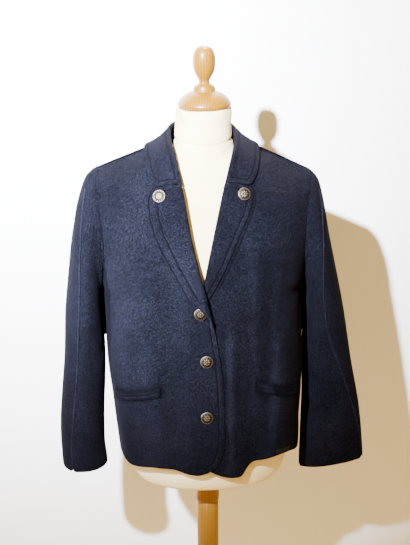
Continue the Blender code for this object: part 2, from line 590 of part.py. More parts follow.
def back_rows():
    """Rows of the back, each from one side seam or armhole to the other."""
    levels = [(float(a), float(b)) for a, b in LEVELS.rows]
    levels = [(z, z) for z in BACK_HEM_LEVELS] + [
        pair for pair in levels if pair[0] not in ROWS_LEFT_OUT]
    back_neck = (BACK_NECK[0] + collar_middle_x(BACK_NECK[2]), BACK_NECK[1] + BACK_NECK_OUT, BACK_NECK[2])
    outer = np.linspace(0.0, NECK_SHARE, BACK_SHOULDER_COLUMNS + 1)
    inner = np.linspace(NECK_SHARE, 1.0, BACK_NECK_COLUMNS + 1)[1:]
    fractions = np.concatenate((outer, inner))
    rows = []
    for side_z, mid_z in levels:
        middle_z = mid_z - BACK_NECK_DROP * smooth_step(mid_z, BACK_NECK_FROM_Z, NECK_POINT[2])
        middle = np.array([collar_middle_x(mid_z) * smooth_step(mid_z, *MIDDLE_SHIFT_Z),
                           BODY.at("back_y", middle_z), middle_z])
        halves = {}
        for side in (-1, 1):
            start = side_point(side, side_z, 1)
            if side_z >= TIP[-1][1] - 0.0001:
                halves[side] = top_of_back(side, back_neck)
                continue
            lean = math.radians(ROW_LEAN.at("lean_deg", side_z))
            start_way = (-side * math.cos(lean), math.sin(lean), 0.0)
            halves[side] = bow(start, middle, start_way, (-side, 0.0, 0.0),
                               ROW_LEAN.at("side_reach", side_z), ROW_LEAN.at("mid_reach", side_z),
                               fractions)
        row = halves[-1] + halves[1][-2::-1]
        rows.append([shape_back(p) for p in row])
    return rows


def top_of_back(side, back_neck):
    """The shoulder seam, then the back of the neckline."""
    tip = np.array([TIP[side][0], ARMHOLE_Y + SHOULDER_SEAM / 2, TIP[side][1]])
    neck_d = COLLAR.at("seam_d", SHOULDER_STATION) + NECKLINE_CLEAR
    neck = np.array([collar_middle_x(NECK_POINT[2]) + side * neck_d,
                     NECK_POINT[1] + SHOULDER_SEAM / 2, NECK_POINT[2]])
    points = [tip + (neck - tip) * k / BACK_SHOULDER_COLUMNS for k in range(BACK_SHOULDER_COLUMNS + 1)]
    for k in range(1, BACK_NECK_COLUMNS + 1):
        turn = math.pi / 2 * k / BACK_NECK_COLUMNS
        points.append(np.array([
            back_neck[0] + (neck[0] - back_neck[0]) * math.cos(turn),
            neck[1] + (back_neck[1] - neck[1]) * math.sin(turn),
            neck[2] + (back_neck[2] - neck[2]) * math.sin(turn)]))
    return points


def shape_back(point):
    x, y, z = point
    facing = smooth_step(y, *FACES_BACK_Y)
    return np.array([x, y + facing * fold_height(BACK_FOLDS, x, z), z])


def sleeve_ring(side, ring):
    """Middle, half of the long way across, middle y and half depth of one ring of a sleeve."""
    table = SLEEVES[side]
    out = np.array([table.at("out_x", ring), 0.0, table.at("out_z", ring)])
    inside = np.array([table.at("in_x", ring), 0.0, table.at("in_z", ring)])
    return (out + inside) / 2, (out - inside) / 2, table.at("mid_y", ring), table.at("half_depth", ring)


CROOK_DEPTH = 0.0035     # hollow in the crook of the arm: its depth, place and spread
CROOK_RING = 6.1
CROOK_RINGS = 0.9
CROOK_ANGLE = 1.9
CROOK_ANGLES = 0.55
SLEEVE_ROWS = 20
SLEEVE_FRONT_COLUMNS = 8
SLEEVE_BACK_COLUMNS = 12


def sleeve_point(side, ring, angle):
    """A point of a sleeve; the angle runs from the outer side, over the front, to the inner side."""
    middle, half, mid_y, half_depth = sleeve_ring(side, ring)
    point = middle + half * math.cos(angle)
    point[1] = mid_y - half_depth * math.sin(angle)
    at_crook = math.exp(-((ring - CROOK_RING) / CROOK_RINGS) ** 2)
    at_front = math.exp(-((angle - CROOK_ANGLE) / CROOK_ANGLES) ** 2)
    dent = CROOK_DEPTH * at_crook * at_front
    inset = ARMHOLE_INSET * math.sin(angle) ** 2 * max(0.0, 1 - ring) ** 2
    return point + np.array([-side * inset, dent, 0.0])


def sleeve_rows(side, front):
    """Rows of one half of a sleeve, from cuff to armhole, between the overarm and underarm seams."""
    rows = []
    for row in range(SLEEVE_ROWS + 1):
        ring = 9.0 * (1 - row / SLEEVE_ROWS)
        _, half, _, half_depth = sleeve_ring(side, ring)
        seam = math.radians(SLEEVES[side].at("seam_deg", ring))
        around = math.hypot(half[0] * math.sin(seam), half_depth * math.cos(seam))
        over_gap = SLEEVE_SEAM / 2 / around
        under_gap = SLEEVE_SEAM / 2 / half_depth
        if front:
            angles = np.linspace(math.pi - under_gap, seam + over_gap, SLEEVE_FRONT_COLUMNS + 1)
        else:
            angles = np.linspace(seam - over_gap, -math.pi + under_gap, SLEEVE_BACK_COLUMNS + 1)
        rows.append([sleeve_point(side, ring, angle) for angle in angles])
    return rows


COLLAR_STEPS = 12
MIDDLE_STATION = 7.0
COLLAR_CLEAR = 0.0006
SHOULDER_RIDGE = 0.0040  # the collar's fall passes over the ridge of the shoulder seam
RIDGE_STATIONS = 1.4     # and comes down again over this many stations
FIRST_INNER_STATION = 0.4
FALL_ARCH = (0.0024, 0.0016, 0.0012, 0.0004)   # more height from the roll to the outer edge
FALL_SAG = 0.12          # the fall hangs in a hollow below its chord
CROWN_OUT = 0.0065
CROWN_UP = 0.0012


def collar_rows(panels):
    """Sections of the collar, from one gorge round the back of the neck to the other."""
    half = [MIDDLE_STATION * k / COLLAR_STEPS for k in range(COLLAR_STEPS + 1)]
    half[1] = FIRST_INNER_STATION
    stations = [(-1, s) for s in half] + [(1, s) for s in half[-2::-1]]
    rows = [collar_section(side, station, panels) for side, station in stations]
    for _ in range(2):
        inner = [even_fall(*rows[k - 1:k + 2], stations[k][1], panels) for k in range(1, len(rows) - 1)]
        rows = [rows[0]] + inner + [rows[-1]]
    return rows


def fall_height(station):
    """From the middle of the panels' wall to the middle of the collar's, under its fall."""
    return WALL + LAID_ON + COLLAR_CLEAR + SHOULDER_RIDGE * math.exp(
        -((station - SHOULDER_STATION) / RIDGE_STATIONS) ** 2)


def even_fall(before, row, after, station, panels):
    """Takes the fall of one section half way towards its neighbours; the stand and roll stay."""
    evened = [(a + 2 * b + c) / 4 for a, b, c in zip(before, row, after)]
    least = fall_height(station)
    lifts = [least + more for more in FALL_ARCH]
    return row[:4] + [lifted_if_close(p, panels, lift) for p, lift in zip(evened[4:], lifts)]


def collar_section(side, station, panels):
    """One section of the collar: the stand, the roll over its top, then the fall to the outer edge."""
    def place(name):
        z = COLLAR.at(name + "_z", station)
        return np.array([collar_middle_x(z) + side * COLLAR.at(name + "_d", station),
                         COLLAR.at(name + "_y", station), z])

    seam, roll, edge = place("seam"), place("roll"), place("edge")
    lying = fall_height(station)
    edge = lifted(edge, panels, lying + FALL_ARCH[3])
    outward = edge - roll
    outward[2] = 0.0
    outward /= np.linalg.norm(outward)
    crown = roll + outward * CROWN_OUT
    crown[2] += CROWN_UP
    middle = (crown + edge) / 2 - np.array([0.0, 0.0, FALL_SAG * abs(crown[2] - edge[2])])
    middle = lifted(middle, panels, lying + FALL_ARCH[1])
    upper = lifted_if_close((crown + middle) / 2, panels, lying + FALL_ARCH[0])
    outer = lifted((middle + edge) / 2, panels, lying + FALL_ARCH[2])
    return [seam, (seam + roll) / 2, roll, crown, upper, middle, outer, edge]


def nearest(point, panels):
    """The nearest place on the panels, with its outward normal."""
    best = None
    for tree in panels:
        place, normal, _, distance = tree.find_nearest(Vector(point))
        if best is None or distance < best[2]:
            best = (np.array(place), np.array(normal), distance)
    place, normal, _ = best
    away = np.array([place[0], place[1], 0.06])
    if np.dot(normal, away) < 0:
        normal = -normal
    return place, normal


def lifted(point, panels, height):
    place, normal = nearest(point, panels)
    return place + normal * height


def lifted_if_close(point, panels, height):
    place, normal = nearest(point, panels)
    above = np.dot(np.array(point) - place, normal)
    return place + normal * height if above < height else point


def strip_on_front(name, tree, ends, height, thickness, lift, collection, finish, columns=10):
    """A flat strip that lies on a front, from its upper edge down."""
    x_a, z_a, x_b, z_b = ends
    rows = []
    for drop in (0.0, 0.5, 1.0):
        row = []
        for k in range(columns + 1):
            x = x_a + (x_b - x_a) * k / columns
            z = z_a + (z_b - z_a) * k / columns - drop * height
            place, normal = seen_from_front(tree, x, z)
            row.append(np.array(place + normal * lift))
        rows.append(row)
    return wall_from_rows(name, rows[::-1], collection, finish, thickness=thickness)


def turned_piece(name, profile, steps, collection, finish):
    """A solid turned about the Z axis, from a profile that runs down its outer side."""
    mesh = bpy.data.meshes.new(name)
    outline = [(0.0, profile[0][1])] + list(profile) + [(0.0, profile[-1][1])]
    mesh.from_pydata([(r, 0.0, z) for r, z in outline], [(i, i + 1) for i in range(len(outline) - 1)], [])
    piece = add_object(name, mesh, collection, finish)
    screw = piece.modifiers.new("turned", "SCREW")
    screw.steps = steps
    screw.render_steps = steps
    screw.use_merge_vertices = True
    screw.merge_threshold = 0.00002
    return piece


def superellipse(angle, half_x, half_y, square):
    c, s = math.cos(angle), math.sin(angle)
    return (half_x * math.copysign(abs(c) ** (2 / square), c),
            half_y * math.copysign(abs(s) ** (2 / square), s))


FORM_SIDES = 24
FORM_RINGS = 22
LAST_RING = 14.0
SLOPE_POWER = 1.4        # how a ring's height runs from the middle to the sides


def build_form(collection, finish):
    """Torso and neck of the dress form, one closed skin from its flat underside to the neck's top."""
    mesh = bpy.data.meshes.new("form_torso")
    skin = bmesh.new()
    loops = []
    for k in range(FORM_RINGS + 1):
        ring = LAST_RING * k / FORM_RINGS
        loop = []
        for step in range(FORM_SIDES):
            angle = 2 * math.pi * step / FORM_SIDES
            behind = math.sin(angle) > 0
            depth = FORM.at("back_y", ring) if behind else -FORM.at("front_y", ring)
            x, y = superellipse(angle, FORM.at("half_width", ring), depth, FORM.at("square", ring))
            middle_z = FORM.at("back_z" if behind else "front_z", ring)
            share = abs(x) / FORM.at("half_width", ring)
            z = middle_z + (FORM.at("side_z", ring) - middle_z) * share ** SLOPE_POWER
            loop.append(skin.verts.new((x + FORM.at("middle_x", ring), y, z)))
        loops.append(loop)
    for lower, upper in zip(loops, loops[1:]):
        for i in range(FORM_SIDES):
            j = (i + 1) % FORM_SIDES
            skin.faces.new((lower[i], lower[j], upper[j], upper[i]))
    skin.faces.new(loops[0][::-1])
    skin.faces.new(loops[-1])
    bmesh.ops.recalc_face_normals(skin, faces=skin.faces[:])
    skin.to_mesh(mesh)
    skin.free()
    mesh.shade_smooth()
    return add_object("form_torso", mesh, collection, finish)


BUTTON_PROFILE = (
    (0.35, 1.00), (0.66, 0.86), (0.88, 0.62), (1.00, 0.42), (1.00, 0.18), (0.90, 0.00),
)


def build_button(name, x, z, tree, off_panel, collection, finish):
    """A domed metal button that lies flat on the cloth behind it."""
    profile = [(BUTTON_RADIUS * r, BUTTON_THICKNESS * h) for r, h in BUTTON_PROFILE]
    piece = turned_piece(name, profile, 20, collection, finish)
    place, normal = seen_from_front(tree, x, z)
    piece.rotation_euler = normal.to_track_quat("Z", "Y").to_euler()
    piece.location = place + normal * off_panel
    return piece


def main():
    for old in list(bpy.data.objects):
        bpy.data.objects.remove(old, do_unlink=True)
    jacket = bpy.data.collections.new("wool_jacket_on_dress_form")
    bpy.context.scene.collection.children.link(jacket)

    wool = material("navy_boiled_wool", NAVY, 0.95)
    linen = material("cream_cotton_cloth", CREAM, 0.85)
    cap_wood = material("honey_varnished_beech", HONEY, 0.35)
    pole_wood = material("chestnut_varnished_beech", CHESTNUT, 0.40)
    metal = material("antique_pewter", PEWTER, 0.45, 1.0)
    tape = material("grey_woven_tape", GREY_TAPE, 0.80)

    fronts = {-1: front_rows(-1), 1: front_rows(1)}
    trees = {side: surface_tree(rows) for side, rows in fronts.items()}
    lapels = {side: lapel_rows(side, fronts[side], trees[side]) for side in (-1, 1)}
    wall_from_rows("front_right", fronts[-1], jacket, wool, lapels[-1])
    wall_from_rows("front_left", fronts[1], jacket, wool, lapels[1])

    back = back_rows()
    wall_from_rows("back", back, jacket, wool)
    for side, word in ((-1, "right"), (1, "left")):
        wall_from_rows("sleeve_" + word + "_front", sleeve_rows(side, True), jacket, wool)
        wall_from_rows("sleeve_" + word + "_back", sleeve_rows(side, False), jacket, wool)

    panels = [trees[-1], trees[1], surface_tree(back)]
    wall_from_rows("collar", collar_rows(panels), jacket, wool)

    on_panel = WALL / 2 + STRIP_CLEAR + WELT_THICKNESS / 2
    strip_on_front("pocket_welt_right", trees[-1], POCKETS[-1], WELT_HEIGHT, WELT_THICKNESS, on_panel,
                   jacket, wool)
    strip_on_front("pocket_welt_left", trees[1], POCKETS[1], WELT_HEIGHT, WELT_THICKNESS, on_panel,
                   jacket, wool)
    strip_on_front("hem_tab", trees[1], TAB, TAB_HEIGHT, TAB_THICKNESS,
                   WALL / 2 + TAB_CLEAR + TAB_THICKNESS / 2, jacket, tape, columns=5)

    faces = {side: surface_tree([section for section in lapels[side] if section]) for side in (-1, 1)}
    for name, x, z in BUTTONS:
        side = 1 if name == "button_lapel_left" else -1
        tree = faces[side] if "lapel" in name else trees[-1]
        build_button(name, x, z, tree, WALL / 2 + SEAM, jacket, metal)

    build_form(jacket, linen)
    turned_piece("neck_cap", CAP_PROFILE, 28, jacket, cap_wood)
    turned_piece("finial", FINIAL_PROFILE, 24, jacket, cap_wood)
    turned_piece("pole_collar", POLE_COLLAR_PROFILE, 24, jacket, pole_wood)
    turned_piece("pole", POLE_PROFILE, 24, jacket, pole_wood)
    turned_piece("foot", FOOT_PROFILE, 36, jacket, pole_wood)


main()
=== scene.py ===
# %% [markdown]
# # A boiled-wool jacket on a dress form
#
# This lesson dresses a set of plain solids. The solids hold the real sizes of the jacket and of the stand
# that it hangs on, and they never move. Each is covered here by a softer, finer piece with its own finish.
# All sizes are in metres; the jacket faces -Y and +Z is up.

# %% Load the fixed frame
import heapq
import math

import bmesh
import bpy
import numpy as np
from mathutils import Matrix, Vector, noise
from mathutils.bvhtree import BVHTree
from mathutils.kdtree import KDTree


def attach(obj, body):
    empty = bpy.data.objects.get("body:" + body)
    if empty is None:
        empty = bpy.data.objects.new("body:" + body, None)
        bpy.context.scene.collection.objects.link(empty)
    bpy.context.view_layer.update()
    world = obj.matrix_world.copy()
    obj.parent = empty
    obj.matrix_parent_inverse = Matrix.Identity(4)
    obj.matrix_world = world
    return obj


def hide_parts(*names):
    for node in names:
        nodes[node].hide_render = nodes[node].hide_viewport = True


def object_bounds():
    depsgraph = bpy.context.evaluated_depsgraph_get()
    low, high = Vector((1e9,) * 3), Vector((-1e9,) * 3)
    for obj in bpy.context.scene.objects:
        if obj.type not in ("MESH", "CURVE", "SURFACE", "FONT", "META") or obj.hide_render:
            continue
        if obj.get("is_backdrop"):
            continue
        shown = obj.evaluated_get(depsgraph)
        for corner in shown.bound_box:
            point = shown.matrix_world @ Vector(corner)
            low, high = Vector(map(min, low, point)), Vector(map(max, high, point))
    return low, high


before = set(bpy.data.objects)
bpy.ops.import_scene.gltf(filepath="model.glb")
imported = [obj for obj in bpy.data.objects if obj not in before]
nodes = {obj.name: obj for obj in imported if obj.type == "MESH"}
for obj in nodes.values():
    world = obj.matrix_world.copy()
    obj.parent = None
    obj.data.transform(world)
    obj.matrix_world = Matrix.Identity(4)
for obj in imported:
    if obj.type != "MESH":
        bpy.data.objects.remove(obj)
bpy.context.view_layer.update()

# %% [markdown]
# ## Small helpers for finishes
#
# Colours are picked as sRGB hex values, the way a dyer's card or a screen shows them, but shaders work in
# linear light, so one function turns them. Another adds a node with its settings and its links in one go.

# %% Colour and node helpers
def linear(hex_colour):
    values = [int(hex_colour[i:i + 2], 16) / 255 for i in (1, 3, 5)]
    turned = [v / 12.92 if v <= 0.04045 else ((v + 0.055) / 1.055) ** 2.4 for v in values]
    return (*turned, 1.0)


def new_finish(name):
    finish = bpy.data.materials.new(name)
    finish.use_nodes = True
    return finish, finish.node_tree, finish.node_tree.nodes["Principled BSDF"]


def add_node(tree, kind, settings=None, links=None):
    """Adds a node; links are keyed by its input, and hold another node's output."""
    made = tree.nodes.new("ShaderNode" + kind)
    for key, value in (settings or {}).items():
        if key == "stops":
            while len(made.color_ramp.elements) < len(value):
                made.color_ramp.elements.new(0.5)
            for stop, (position, hex_colour) in zip(made.color_ramp.elements, value):
                stop.position, stop.color = position, linear(hex_colour)
        elif isinstance(key, int) or key in made.inputs:
            made.inputs[key].default_value = value
        else:
            setattr(made, key, value)
    for key, output in (links or {}).items():
        tree.links.new(output, made.inputs[key])
    return made


def set_shader(tree, shader, settings, links):
    """Sets the shader's own sockets, and links those that a pattern drives."""
    for key, value in settings.items():
        shader.inputs[key].default_value = value
    for key, output in links.items():
        tree.links.new(output, shader.inputs[key])


print("a screen's mid grey in linear light:", round(linear("#808080")[0], 3))

# %% [markdown]
# ## Boiled wool
#
# The cloth is a wool knit, milled in hot water until it felts. Its face is a mat of curled fibre with a
# pebbly grain about two millimetres across, very matt, with a faint bluish bloom where light grazes the fibre
# ends. Felt has no weave to follow, so its pattern is solid noise on Object coordinates. Two attributes
# that the pieces carry paint shade into the sewing: how far a point lies from a topstitched edge, which
# gives painted shade along the stitched groove, and how deep in a seam it lies, which gives painted shade
# in the seam's hollow.

# %% Boiled wool finish
GRAIN = 0.0018           # pebbly grain of the felted knit
FIBRE = 0.0009           # curled fibre, drawn coarser than the real 0.03 mm so that it shows
WEAR = 0.070             # slow change of shade, from wear and pressing
BAND = 0.0078            # from an edge to its line of topstitching
LINE = 0.00224           # from the middle of that line to where the painted shade of its groove has faded out
SHADOW = "#020203"       # the bottom of a groove or a seam


def make_wool(name, dark, mid, light):
    finish, tree, shader = new_finish(name)
    place = add_node(tree, "TexCoord").outputs["Object"]
    grain = add_node(tree, "TexNoise", {"Scale": 1 / GRAIN, "Detail": 2.0, "Roughness": 0.6},
                     {"Vector": place}).outputs["Fac"]
    fibre = add_node(tree, "TexNoise", {"Scale": 1 / FIBRE, "Detail": 2.0, "Distortion": 0.8},
                     {"Vector": place}).outputs["Fac"]
    wear = add_node(tree, "TexNoise", {"Scale": 1 / WEAR, "Detail": 2.0}, {"Vector": place}).outputs["Fac"]
    both = add_node(tree, "Math", {"operation": "MULTIPLY_ADD", 1: 0.55}, {0: fibre, 2: grain})
    spread = add_node(tree, "MapRange", {"From Min": 0.55, "From Max": 1.0}, {"Value": both.outputs[0]})
    cloth = add_node(tree, "ValToRGB", {"stops": [(0.15, dark), (0.50, mid), (0.90, light)]},
                     {"Fac": spread.outputs[0]})
    shade = add_node(tree, "ValToRGB", {"stops": [(0.30, "#d2d2d6"), (0.70, "#ffffff")]}, {"Fac": wear})
    worn = add_node(tree, "Mix", {"data_type": "RGBA", "blend_type": "MULTIPLY", "Factor": 1.0},
                    {"A": cloth.outputs[0], "B": shade.outputs[0]})
    edge = add_node(tree, "Attribute", {"attribute_name": "from_edge"}).outputs["Fac"]
    off_line = add_node(tree, "Math", {"operation": "SUBTRACT", 1: BAND}, {0: edge})
    away = add_node(tree, "Math", {"operation": "ABSOLUTE"}, {0: off_line.outputs[0]})
    line = add_node(tree, "MapRange", {"interpolation_type": "SMOOTHSTEP", "From Min": 0.0,
                                       "From Max": LINE, "To Min": 1.0, "To Max": 0.0},
                    {"Value": away.outputs[0]})
    # painted shade: the felt on and beside the stitched line is darkened towards SHADOW, as a groove's bottom
    # gets less light
    weight = add_node(tree, "Math", {"operation": "MULTIPLY", 1: 0.70}, {0: line.outputs[0]})
    painted_groove_shade = add_node(tree, "Mix", {"data_type": "RGBA", "blend_type": "MIX", "B": linear(SHADOW)},
                     {"Factor": weight.outputs[0], "A": worn.outputs["Result"]})
    # painted shade: the felt in a seam's hollow is darkened towards SHADOW by the in_seam attribute
    hollow = add_node(tree, "Attribute", {"attribute_name": "in_seam"}).outputs["Fac"]
    painted_seam_shade = add_node(tree, "Mix", {"data_type": "RGBA", "blend_type": "MIX", "B": linear(SHADOW)},
                    {"Factor": hollow, "A": painted_groove_shade.outputs["Result"]})
    height = add_node(tree, "Math", {"operation": "MULTIPLY_ADD", 1: -1.6},
                      {0: line.outputs[0], 2: both.outputs[0]})
    bump = add_node(tree, "Bump", {"Strength": 0.40, "Distance": 0.0010}, {"Height": height.outputs[0]})
    set_shader(tree, shader,
               {"Roughness": 0.95, "Specular IOR Level": 0.02, "Sheen Weight": 0.010,
                "Sheen Roughness": 0.50, "Sheen Tint": linear("#a0a4c4")},
               {"Base Color": painted_seam_shade.outputs["Result"], "Normal": bump.outputs[0]})
    return finish


wool = make_wool("navy_boiled_wool_felted", "#030304", "#08080d", "#191a24")
# a raised seam's cord gets paler wool: a painted highlight for the light that its ridge catches
ridge_highlight_wool = make_wool("navy_boiled_wool_painted_highlight", "#07070b", "#101017", "#222330")
print("nodes in the wool:", len(wool.node_tree.nodes))

# %% [markdown]
# ## A soft wall from each cloth solid
#
# Each piece of the jacket is a wall 3 mm thick. Its solid is made of flat triangles, so a copy is merged,
# its triangles are joined into the four-sided faces that a subdivision surface likes, and two or three
# levels of subdivision round it: the cut edges turn soft, as felted edges are. Creases, the sag of the
# cloth and its small unevenness are then added by moving points, the same way on both faces of the wall.

# %% Read and move the points of a piece
def read_all(vertices, key):
    """Three numbers for each vertex: its place, or the way that the surface faces there."""
    flat = np.empty(len(vertices) * 3)
    vertices.foreach_get(key, flat)
    return flat.reshape(-1, 3)


def points_of(piece):
    return read_all(piece.data.vertices, "co")


def set_points(piece, points):
    piece.data.vertices.foreach_set("co", points.ravel())
    piece.data.update()


def store(piece, name, values):
    """Keeps one number for each point, which a finish can read under this name."""
    piece.data.attributes.new(name, "FLOAT", "POINT").data.foreach_set("value", values)

# %% Merge, round and finish
SWELLS = 3               # a rounded surface falls short of its corners, so they are moved out this many times
SWELL_SHARE = 0.85


def merged_copy(node):
    """A bmesh of a solid with its loose triangles merged and paired into quads."""
    cloth = bmesh.new()
    cloth.from_mesh(nodes[node].data)
    bmesh.ops.remove_doubles(cloth, verts=cloth.verts, dist=0.00002)
    bmesh.ops.join_triangles(cloth, faces=cloth.faces, angle_face_threshold=math.radians(50),
                             angle_shape_threshold=math.radians(80))
    return cloth


def as_shown(piece):
    """The piece with its modifiers worked out."""
    return piece.evaluated_get(bpy.context.evaluated_depsgraph_get())


def as_object(name, cloth, finish, levels=0):
    """An object of a bmesh; with levels it is rounded, and still passes through its first corners."""
    mesh = bpy.data.meshes.new(name)
    cloth.to_mesh(mesh)
    cloth.free()
    piece = bpy.data.objects.new(name, mesh)
    bpy.context.scene.collection.objects.link(piece)
    if levels:
        soften = piece.modifiers.new("soften", "SUBSURF")
        corners = points_of(piece)
        for _ in range(SWELLS):
            soften.levels = 1
            short = corners - read_all(as_shown(piece).data.vertices, "co")[:len(corners)]
            set_points(piece, points_of(piece) + SWELL_SHARE * short)
        soften.levels = levels
        fine = bpy.data.meshes.new_from_object(as_shown(piece))
        piece.modifiers.clear()
        piece.data = fine
        bpy.data.meshes.remove(mesh)
    piece.data.materials.clear()
    piece.data.materials.append(finish)
    piece.data.shade_smooth()
    return piece


def stand_for(piece, slot_name, *replaced):
    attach(piece, "root")
    if replaced:
        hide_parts(*replaced)

# %% Soft walls of the body, the sleeves and the collar
LEVELS = 3
walls = {}
for node in ("front_right", "front_left", "back", "sleeve_right_front", "sleeve_right_back",
             "sleeve_left_front", "sleeve_left_back", "collar"):
    cloth = merged_copy(node)
    quads = sum(len(f.verts) == 4 for f in cloth.faces)
    walls[node] = as_object("felted_" + node, cloth, wool, 2 if node.startswith("sleeve") else LEVELS)
    stand_for(walls[node], "navy_boiled_wool", node)
    print(node, "quads", quads, "faces now", len(walls[node].data.polygons))

# %% [markdown]
# ## Folds, creases and the unevenness of hanging cloth
#
# Thick felt drapes in a few broad, soft folds, not in sharp wrinkles. The largest are in the solids. The
# smaller ones are listed here, each as a trough or a ridge along a line, with its own length,
# width and depth. Under them lies a slow unevenness of a millimetre or two, that no pressed wall lacks.

# %% Creases, as rows of sizes
# from x, z to x, z, half width and how far the cloth stands out, which is negative in a trough
FRONT_CREASES = (
    (-0.150, 1.060, -0.128, 0.900, 0.0130, -0.0022),
    (-0.172, 0.985, -0.100, 0.930, 0.0150, 0.0018),
    (-0.112, 0.900, -0.102, 0.690, 0.0160, 0.0020),
    (-0.060, 0.800, -0.054, 0.680, 0.0140, -0.0018),
    (-0.142, 0.800, -0.136, 0.690, 0.0120, -0.0016),
    (-0.018, 0.870, -0.008, 0.700, 0.0120, 0.0010),
    (0.150, 1.070, 0.128, 0.930, 0.0130, -0.0026),
    (0.172, 0.990, 0.118, 0.900, 0.0130, 0.0016),
    (0.084, 1.120, 0.078, 0.690, 0.0150, 0.0050),
    (0.112, 1.090, 0.106, 0.690, 0.0120, -0.0050),
    (0.052, 0.960, 0.050, 0.690, 0.0090, -0.0016),
    (0.140, 0.960, 0.136, 0.700, 0.0110, 0.0034),
    (0.020, 0.900, 0.026, 0.690, 0.0130, -0.0012),
)
BACK_CREASES = (
    (-0.150, 1.080, -0.118, 0.900, 0.0140, -0.0026),
    (-0.085, 0.960, -0.078, 0.690, 0.0150, 0.0022),
    (-0.012, 0.900, -0.004, 0.690, 0.0160, 0.0018),
    (0.062, 0.980, 0.066, 0.700, 0.0130, -0.0018),
    (0.148, 1.070, 0.120, 0.860, 0.0140, -0.0024),
    (-0.060, 1.190, 0.050, 1.198, 0.0130, 0.0012),
    (0.150, 0.820, 0.146, 0.700, 0.0110, 0.0016),
)
# the same on the sleeves, from a height and an angle to another, then half width and depth; the angle is in
# degrees round from the sleeve's outer side to its front
SLEEVE_CREASES = {
    "right": ((1.080, 150, 0.985, 60, 0.0150, -0.0018), (0.960, 120, 0.900, 20, 0.0120, 0.0016),
              (0.905, 165, 0.850, 80, 0.0110, -0.0020), (0.850, 60, 0.700, 80, 0.0140, 0.0014),
              (1.160, 60, 1.050, 95, 0.0140, -0.0012), (0.900, -60, 0.820, -110, 0.0140, -0.0018)),
    "left": ((1.090, 150, 0.990, 80, 0.0140, -0.0022), (0.965, 150, 0.880, 90, 0.0120, -0.0026),
             (0.900, 140, 0.780, 100, 0.0110, 0.0026), (0.800, 95, 0.660, 80, 0.0120, -0.0024),
             (0.860, 55, 0.700, 45, 0.0130, 0.0020), (0.920, -60, 0.800, -120, 0.0140, -0.0018)),
}
print("creases in front and back:", len(FRONT_CREASES), len(BACK_CREASES))

# %% How a crease or the unevenness moves a point
def along_creases(points, across, up, creases):
    """How far all creases together push each point out."""
    pushed = np.zeros(len(points))
    for a_x, a_z, b_x, b_z, half_width, depth in creases:
        line = np.array([b_x - a_x, b_z - a_z])
        length = np.linalg.norm(line)
        share = ((across - a_x) * line[0] + (up - a_z) * line[1]) / length ** 2
        inside = np.clip(share, 0, 1)
        off = np.hypot(across - a_x - line[0] * inside, up - a_z - line[1] * inside)
        fade = np.sin(np.pi * np.clip(share * 0.94 + 0.03, 0, 1)) ** 0.7
        pushed += depth * fade * np.exp(-(off / half_width) ** 2)
    return pushed


def unevenness(points, height, size, seed):
    shift = Vector((seed * 3.1, seed * 1.7, seed * 2.3))
    return np.array([noise.noise(Vector(p) / size + shift) for p in points]) * height

# %% [markdown]
# A panel could be sculpted, or draped by a simulation, but felt this stiff keeps the folds it was given.
# So its points are pushed in and out by the rows above. The push fades out towards the side seams, the
# armholes and the neck, where other pieces are sewn on, and both faces of the wall move together.

# %% Move the cloth of the body
BODY_MIDDLE = -0.006
BODY_HALF = 0.185        # from the body's middle to where the creases have faded out


def smooth_share(values, start, end):
    t = np.clip((values - start) / (end - start), 0, 1)
    return t * t * (3 - 2 * t)


# the panel, its creases, which way along Y is out, and the heights where they begin and where they are full
for node, creases, way, begin, full in (("front_right", FRONT_CREASES, -1, 1.200, 1.150),
                                        ("front_left", FRONT_CREASES, -1, 1.200, 1.150),
                                        ("back", BACK_CREASES, 1, 1.245, 1.200)):
    points = points_of(walls[node])
    facing = smooth_share(way * points[:, 1], 0.015, 0.075)
    inside = smooth_share(BODY_HALF - np.abs(points[:, 0] - BODY_MIDDLE), 0.0, 0.05)
    out = along_creases(points, points[:, 0], points[:, 2], creases) * inside
    out += unevenness(points * [1, 0.3, 0.55], 0.0022, 0.075, 1) * inside
    out += unevenness(points * [1, 0.3, 1], 0.0006, 0.022, 2) * inside
    points[:, 1] += way * out * facing * smooth_share(points[:, 2], begin, full)
    points[:, 2] += unevenness(points * [1, 1, 0], 0.0012, 0.035, 3) * smooth_share(points[:, 2], 0.76, 0.67)
    set_points(walls[node], points)
    print(node, "moved by up to", round(float(np.abs(out).max()) * 1000, 1), "mm")

# %% [markdown]
# A sleeve is a tube, so its creases are measured round its axis, which bends a little at the elbow. On the
# side that faces the body the cloth moves out less, so that it stays clear.

